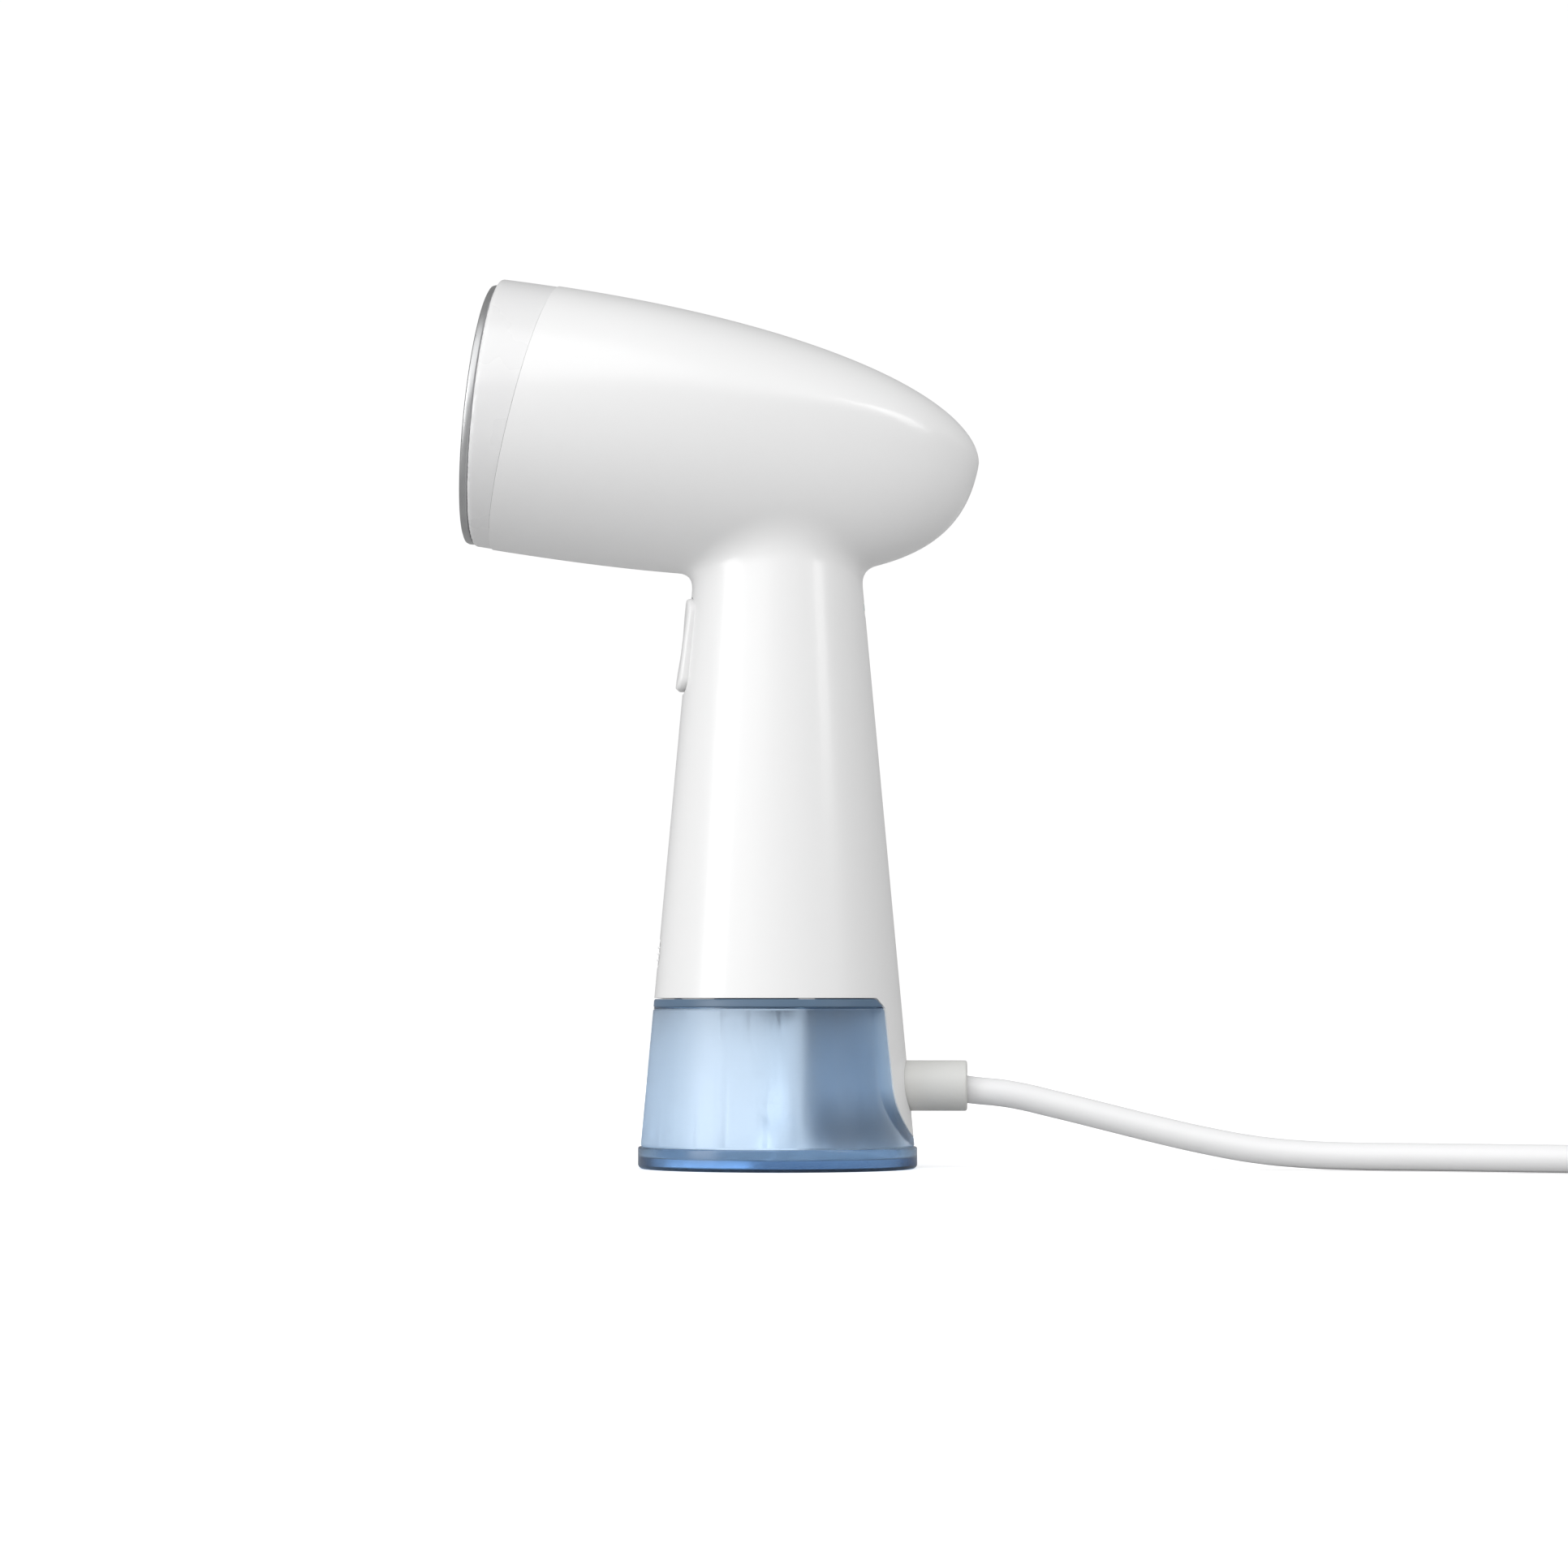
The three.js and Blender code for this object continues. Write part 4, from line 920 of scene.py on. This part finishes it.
def plug_frame():
    spot = Matrix.Translation((TAIL_CENTRE[0] - TAIL_BEND, TAIL_CENTRE[1] - GAP, PLUG_Z))
    return spot @ Matrix.Rotation(-math.pi / 2, 4, "Z") @ Matrix.Rotation(-PLUG_PITCH, 4, "Y")


def plug():
    """The plug's body, with rings on its strain relief and a dent on each side to hold it by."""
    ends = np.array(PLUG_SECTIONS)
    spans = [(a, b, max(1, round((b[0] - a[0]) / SECTION_STEP))) for a, b in zip(ends, ends[1:])]
    sections = np.concatenate([np.linspace(*span, endpoint=False) for span in spans] + [ends[-1:]])
    for _ in range(6):  # evens out the kinks between the sections
        before, here, after = sections[2:-7, 1:], sections[3:-6, 1:], sections[4:-5, 1:]
        sections[3:-6, 1:] = (before + 2 * here + after) / 4
    rings = []
    for x, half, tall in sections:
        relief = 0.55 if 3 < x < 22 and (x - 3) % 4 < 1.2 else 0.0
        dent = 0.7 * math.exp(-(((x - 50) / 5) ** 2))
        pressed = lambda z: math.copysign(dent, z) if abs(z) > 0.75 * tall else 0.0
        rings.append([
            (x, y * (1 - relief / half), z * (1 - relief / tall) - pressed(z))
            for y, z in superellipse(half, tall, 0.8)
        ])
    return lofted("plug", rings, 40, matrix=plug_frame())


def plug_pin(name, side):
    profile = [(AXIS, 60.3), (2.4, 60.3), (2.4, 77.4), (2.1, 78.4), (1.3, 78.9), (AXIS, 79)]
    spot = plug_frame() @ Matrix.Translation((0, side * PIN_SPACING / 2, 0)) @ ALONG_X
    return turned(name, profile, spot, 32, 40)


def coil_strap():
    """A soft strap round the coil's section at its far side, with its end lapped over on top."""
    inner = COIL_OUTER - (COIL_TURNS - 1) * COIL_PITCH - CORD_R - 0.3
    outer = COIL_OUTER + CORD_R + 0.3
    low, high = COIL_LIFT, COIL_LIFT + 2 * COIL_PITCH + 0.1
    centre, half, tall = (inner + outer) / 2, (outer - inner) / 2, (high - low) / 2
    rings = []
    for y, grow in ((-3.4, 0.57), (-3.1, 0.82), (3.1, 0.82), (3.4, 0.57), (3.3, 0.3), (-3.3, 0.3)):
        rings.append([
            (COIL_X + centre + u, COIL_Y + y, low + tall + w)
            for u, w in superellipse(half + grow, tall + grow, 0.42, 64)
        ])
    strap = lofted("coil_strap", rings, 40, closed=True)
    x, y = COIL_X + centre, COIL_Y
    lap = block("lap", (x - 3, y - 2.9, high + 0.75), (x + 8, y + 2.9, high + 0.98), 0.08)
    return join(strap, lap)


# ---- materials
NOISE_LOW, NOISE_HIGH = 0.15, 0.85  # what a noise pattern covers of 0 to 1
FLOOR_BOUNCE, FLOOR_LIFT = 0.5, 0.5  # the floor's tone as a light, and its glow where it is seen


class Nodes:
    """A node tree, with short calls for the nodes used here."""

    def __init__(self, tree):
        self.tree = tree

    def fill(self, made, sockets):
        """Gives each socket a constant or another node's output."""
        for key, value in sockets.items():
            if isinstance(value, bpy.types.NodeSocket):
                self.tree.links.new(value, made.inputs[key])
            else:
                made.inputs[key].default_value = value

    def node(self, kind, sockets=None, **settings):
        made = self.tree.nodes.new(kind)
        for key, value in settings.items():
            setattr(made, key, value)
        self.fill(made, sockets or {})
        return made.outputs

    def math(self, operation, first, second):
        return self.node("ShaderNodeMath", {0: first, 1: second}, operation=operation)["Value"]

    def seen_directly(self):
        """1 for what the camera sees, through clear plastic too, and 0 for what only lights the object."""
        path = self.node("ShaderNodeLightPath")
        unscattered = self.math("LESS_THAN", path["Diffuse Depth"], 0.5)
        through = self.math("MULTIPLY", unscattered, path["Is Transmission Ray"])
        return self.math("MAXIMUM", path["Is Camera Ray"], through)


class Finish(Nodes):
    """A material and the patterns that it is made of."""

    def __init__(self, name="finish"):
        self.material = bpy.data.materials.new(name)
        self.material.use_nodes = True
        super().__init__(self.material.node_tree)
        self.shader = self.tree.nodes["Principled BSDF"]
        self.coordinates = self.node("ShaderNodeTexCoord")["Object"]

    def noise(self, scale, detail=3.0, stretch=(1, 1, 1)):
        vector = self.node("ShaderNodeMapping", {"Vector": self.coordinates, "Scale": stretch})["Vector"]
        return self.node("ShaderNodeTexNoise", {"Vector": vector, "Scale": scale, "Detail": detail})["Fac"]

    def spread(self, pattern, low, high):
        """Maps a noise pattern to low to high."""
        sockets = {"From Min": NOISE_LOW, "From Max": NOISE_HIGH, "To Min": low, "To Max": high}
        return self.node("ShaderNodeMapRange", {"Value": pattern, **sockets})["Result"]

    def mixed(self, pattern, one, other):
        ramp = self.tree.nodes.new("ShaderNodeValToRGB")
        places = ((NOISE_LOW, one), (NOISE_HIGH, other))
        for element, (position, color) in zip(ramp.color_ramp.elements, places):
            element.position, element.color = position, (*color, 1)
        self.fill(ramp, {"Fac": pattern})
        return ramp.outputs["Color"]

    def toned(self, pattern, color, spread):
        """A colour that the pattern darkens by up to a share."""
        return self.mixed(pattern, [c * (1 - spread) for c in color], color)

    def bump(self, height, strength, distance):
        sockets = {"Height": height, "Strength": strength, "Distance": distance}
        self.fill(self.shader, {"Normal": self.node("ShaderNodeBump", sockets)["Normal"]})

    def finish(self, color, roughness, **plain):
        """Colour and roughness patterns, and plain values for the shader's other sockets."""
        plain = {key.replace("_", " "): value for key, value in plain.items()}
        self.fill(self.shader, {"Base Color": color, "Roughness": roughness, **plain})
        return self.material


def moulded(color, roughness, grain=900, relief=0.04, coat=0.0, spread=0.03, scattering=0.0):
    """Injection-moulded plastic: faint flow marks in its colour, uneven gloss and a fine grain."""
    n = Finish()
    n.bump(n.noise(grain, 4.0), relief, 0.0003)
    gloss = n.spread(n.noise(45), roughness * 0.9, roughness * 1.1)
    values = {"Coat_Weight": coat, "Coat_Roughness": 0.12, "IOR": 1.49}
    if scattering:
        values.update(Subsurface_Weight=scattering, Subsurface_Scale=0.002)
    return n.finish(n.toned(n.noise(18, 2.0, (1, 1, 0.4)), color, spread), gloss, **values)


def rubber(color, roughness=0.6, spread=0.08):
    """Rubber or silicone: matt, with a fine skin."""
    n = Finish()
    n.bump(n.noise(1600, 5.0), 0.12, 0.0003)
    gloss = n.spread(n.noise(120), roughness * 0.9, roughness * 1.08)
    return n.finish(n.toned(n.noise(60), color, spread), gloss, Sheen_Weight=0.15, Specular_IOR_Level=0.35)


def metal(color, roughness, stretch=(1, 1, 1), scale=300, relief=0.1, spread=0.12):
    """Metal with fine marks drawn out along one direction."""
    n = Finish()
    marks = n.noise(scale, 6.0, stretch)
    n.bump(marks, relief, 0.0002)
    gloss = n.spread(marks, roughness * 0.8, roughness * 1.25)
    return n.finish(n.toned(marks, color, spread), gloss, Metallic=1.0)


def clear(tint, shade, absorbed, density, roughness, through=1.0, index=1.46):
    """Clear tinted plastic, faintly hazy, darker the deeper light goes in it; it lets lamp light in."""
    n = Finish()
    n.bump(n.noise(70, 2.0), 0.06, 0.0005)
    gloss = n.spread(n.noise(50), roughness * 0.8, roughness * 1.25)
    cloud = n.toned(n.noise(30, 2.0, (1, 1, 0.5)), tint, 0.03)
    n.finish(cloud, gloss, Transmission_Weight=through, IOR=index)
    shadow = n.node("ShaderNodeLightPath")["Is Shadow Ray"]
    passed = n.node("ShaderNodeBsdfTransparent", {"Color": (*shade, 1)})["BSDF"]
    surface = n.node("ShaderNodeMixShader", {0: shadow, 1: n.shader.outputs["BSDF"], 2: passed})["Shader"]
    volume = n.node("ShaderNodeVolumeAbsorption", {"Color": (*absorbed, 1), "Density": density})["Volume"]
    n.fill(n.tree.nodes["Material Output"], {"Surface": surface, "Volume": volume})
    return n.material


def plate_metal():
    """Fine-ground aluminium with faint turning marks."""
    n = Finish()
    marks = n.noise(120, 6.0, (0.3, 1, 1))
    n.bump(n.noise(900, 6.0, (1, 1, 0.06)), 0.12, 0.0002)
    color = n.mixed(marks, (0.46, 0.465, 0.47), (0.56, 0.565, 0.57))
    return n.finish(color, n.spread(marks, 0.34, 0.5), Metallic=1.0)


def copper_coil():
    """Fine enamelled wire wound round Z."""
    n = Finish()
    sockets = {"Vector": n.coordinates, "Scale": 900}
    wave = n.node("ShaderNodeTexWave", sockets, wave_type="BANDS", bands_direction="Z")["Fac"]
    n.bump(wave, 0.5, 0.0003)
    color = n.mixed(n.noise(40), (0.45, 0.16, 0.07), (0.62, 0.25, 0.12))
    return n.finish(color, n.spread(n.noise(90), 0.25, 0.4), Metallic=1.0)


def studio_floor():
    """A pale floor that throws back less light than it shows, as if the studio round it were dark."""
    n = Finish("floor")
    seen = n.seen_directly()
    pale = n.mixed(n.noise(3), (0.84, 0.84, 0.845), (0.86, 0.86, 0.86))
    sockets = {"Factor": seen, "A": (FLOOR_BOUNCE, FLOOR_BOUNCE, FLOOR_BOUNCE, 1), "B": pale}
    tone = n.node("ShaderNodeMix", sockets, data_type="RGBA")["Result"]
    glow = n.math("MULTIPLY", seen, FLOOR_LIFT)
    n.fill(n.shader, {"Emission Color": (1, 1, 1, 1), "Emission Strength": glow})
    return n.finish(tone, n.spread(n.noise(5), 0.85, 0.95), Specular_IOR_Level=0.0)


FINISHES = {
    "gloss_white": moulded((0.90, 0.90, 0.90), 0.3, coat=0.25, spread=0.008),
    "inner_white": moulded((0.80, 0.80, 0.79), 0.5, relief=0.1),
    "shade_white": moulded((0.835, 0.835, 0.838), 0.28, coat=0.25, spread=0.01),
    "tank_blue": clear((0.745, 0.815, 0.885), (0.66, 0.73, 0.79), (0.36, 0.57, 0.77), 52, 0.38),
    "deep_blue": clear((0.40, 0.56, 0.74), (0.5, 0.6, 0.7), (0.42, 0.60, 0.78), 38, 0.22),
    # the lid is a dark blue that lets less light through than the tank: a dark band along the tank's top
    "lid_blue": clear((0.17, 0.27, 0.40), (0.71, 0.78, 0.84), (0.5, 0.7, 0.9), 10, 0.35, through=0.35),
    "clear_plastic": clear((0.97, 0.985, 0.995), (0.96, 0.98, 0.99), (0.7, 0.85, 0.95), 10, 0.15, index=1.15),
    "frosted_lens": moulded((0.72, 0.78, 0.80), 0.25, coat=0.4, scattering=0.3),
    "silicone": rubber((0.74, 0.77, 0.79), 0.5),
    "red_silicone": rubber((0.35, 0.05, 0.04)),
    "black_rubber": rubber((0.02, 0.02, 0.02), 0.7),
    "warm_grey": moulded((0.70, 0.70, 0.68), 0.42, relief=0.12, spread=0.02),
    "plate_metal": plate_metal(),
    "cast_aluminium": metal((0.62, 0.62, 0.63), 0.5, scale=200, relief=0.4),
    "steel": metal((0.50, 0.51, 0.53), 0.35, stretch=(1, 0.1, 1)),
    "brass": metal((0.72, 0.70, 0.66), 0.25, stretch=(1, 0.2, 1)),
    "copper": copper_coil(),
    "copper_wire": rubber((0.20, 0.07, 0.03), 0.45),
    "black_plastic": moulded((0.015, 0.015, 0.017), 0.45, relief=0.15, spread=0.2),
    "board_green": moulded((0.03, 0.16, 0.07), 0.4, grain=300, relief=0.3, spread=0.25),
    "cord_white": moulded((0.86, 0.86, 0.865), 0.38, grain=1400, relief=0.06, spread=0.02),
    "plug_white": moulded((0.84, 0.84, 0.845), 0.42, relief=0.1, spread=0.02),
}
for finish_name, material in FINISHES.items():
    material.name = finish_name


# ---- lights
SKY_LIGHT, SKY_SHOWN = 0.34, 1.02  # how strong the sky is as a light, and where it is seen
SUN_POWER, SUN_SPREAD, SUN_FROM = 1.42, math.radians(64), (-0.5, -0.92, 0.9)
ROOM_HALF = 9.0  # half the floor's width, in metres


def softbox(name, place, aim, width, height, power, glossy=True):
    data = bpy.data.lights.new(name, "AREA")
    data.shape = "RECTANGLE"
    data.size, data.size_y, data.energy = width, height, power
    lamp = added(name, data)
    lamp.location = place
    lamp.rotation_euler = (Vector(aim) - Vector(place)).to_track_quat("-Z", "Y").to_euler()
    lamp.visible_glossy = glossy


def make_studio():
    """A white room: a pale floor, an even sky that lights less than it shows, a broad sun and soft boxes."""
    data = bpy.data.meshes.new("floor")
    corners = [(ROOM_HALF * x, ROOM_HALF * y, 0) for x, y in ((-1, -1), (1, -1), (1, 1), (-1, 1))]
    data.from_pydata(corners, [], [(0, 1, 2, 3)])
    data.materials.append(studio_floor())
    added("floor", data)

    world = bpy.data.worlds.new("studio")
    bpy.context.scene.world = world
    world.use_nodes = True
    n = Nodes(world.node_tree)
    sockets = {"Value": n.seen_directly(), "To Min": SKY_LIGHT, "To Max": SKY_SHOWN}
    strength = n.node("ShaderNodeMapRange", sockets)["Result"]
    n.fill(n.tree.nodes["Background"], {"Color": (1, 1, 1, 1), "Strength": strength})

    sun = bpy.data.lights.new("overhead", "SUN")
    sun.energy, sun.angle = SUN_POWER, SUN_SPREAD
    added("overhead", sun).rotation_euler = Vector(SUN_FROM).to_track_quat("Z", "Y").to_euler()
    softbox("key", (-1.0, -0.7, 0.15), (0, 0, 0.14), 0.5, 1.0, 6.9)
    softbox("fill", (0.85, -0.65, 0.75), (0, 0, 0.08), 0.3, 0.9, 4.1)
    softbox("rear", (0.5, 1.4, 0.45), (0, 0, 0.1), 0.9, 0.7, 8.0, glossy=False)


# ---- build
for part in frame["record"]["subparts"]:
    data = frame["nodes"][part["node"]].data
    data.materials.clear()
    data.materials.append(FINISHES[part["material_slot"]])
    smoothed(data, 30)


def show(piece, body, slot, *nodes, finish=None):
    """Puts a piece in its slot's finish, or another, on its body, in place of the CAD nodes it stands for.

    A piece given two bodies and the points where it stretches between them is not attached to either: its
    place is baked into its mesh.
    """
    piece.data.materials.clear()
    piece.data.materials.append(FINISHES[finish or slot])
    if isinstance(body, tuple):
        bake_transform(piece)
    else:
        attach(piece, body)
    if nodes:
        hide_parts(*nodes)


make_camera()
cord, cord_line = make_cord()
cord_exit = MM * Vector(CORD_ROUTE[0])
cord_rises = ("housing", "tank", cord_exit, MM * Vector(CORD_SETTLES))
show(cord, cord_rises, "cord_white", "cord_run", "cord_coil", "cord_tail")
show(plug(), "tank", "plug_white", "plug_body")
show(plug_pin("pin_left", -1), "tank", "brass", "plug_pin_1")
show(plug_pin("pin_right", 1), "tank", "brass", "plug_pin_2")
show(coil_strap(), "tank", "black_rubber", "coil_tie")

skin = casing_skin()
for side, name, node in ((-1, "casing_left", "housing_left"), (1, "casing_right", "housing_right")):
    show(casing_half(name, skin, side), "housing", "gloss_white", node)
skin.free()

show(bezel(), "housing", "shade_white", "front_bezel")
show(steam_face(), "housing", "plate_metal", "steam_plate")
show(trigger(), "trigger", "gloss_white", "steam_trigger")
show(release_button(), "release", "gloss_white", "tank_release_button")
show(lens(), "housing", "clear_plastic", "ready_light_lens", finish="frosted_lens")

show(tank_body(), "tank", "tank_blue", "tank_shell")
show(tank_cover(), "tank", "tank_blue", "tank_lid", finish="lid_blue")
show(weld_line(), "tank", "deep_blue")
show(tank_base(), "tank", "deep_blue", "tank_foot")
show(pickup_tube(), "tank", "clear_plastic", "pickup_tube")
show(pickup_filter(), "tank", "clear_plastic", "pickup_filter")

for name, node, first, second, low, direction, length, *coil in SPRINGS:
    far = Vector(low) + length * Vector(direction)
    stretch = (first, second, MM * Vector(low), MM * far)
    show(spring(name, low, direction, length, *coil), stretch, "steel", node)

show(cord_guard(), "housing", "warm_grey", "cord_guard")
show(cord_lead(), "housing", "cord_white", "cord_lead_in")

make_studio()
bpy.context.scene.view_settings.view_transform = "Standard"
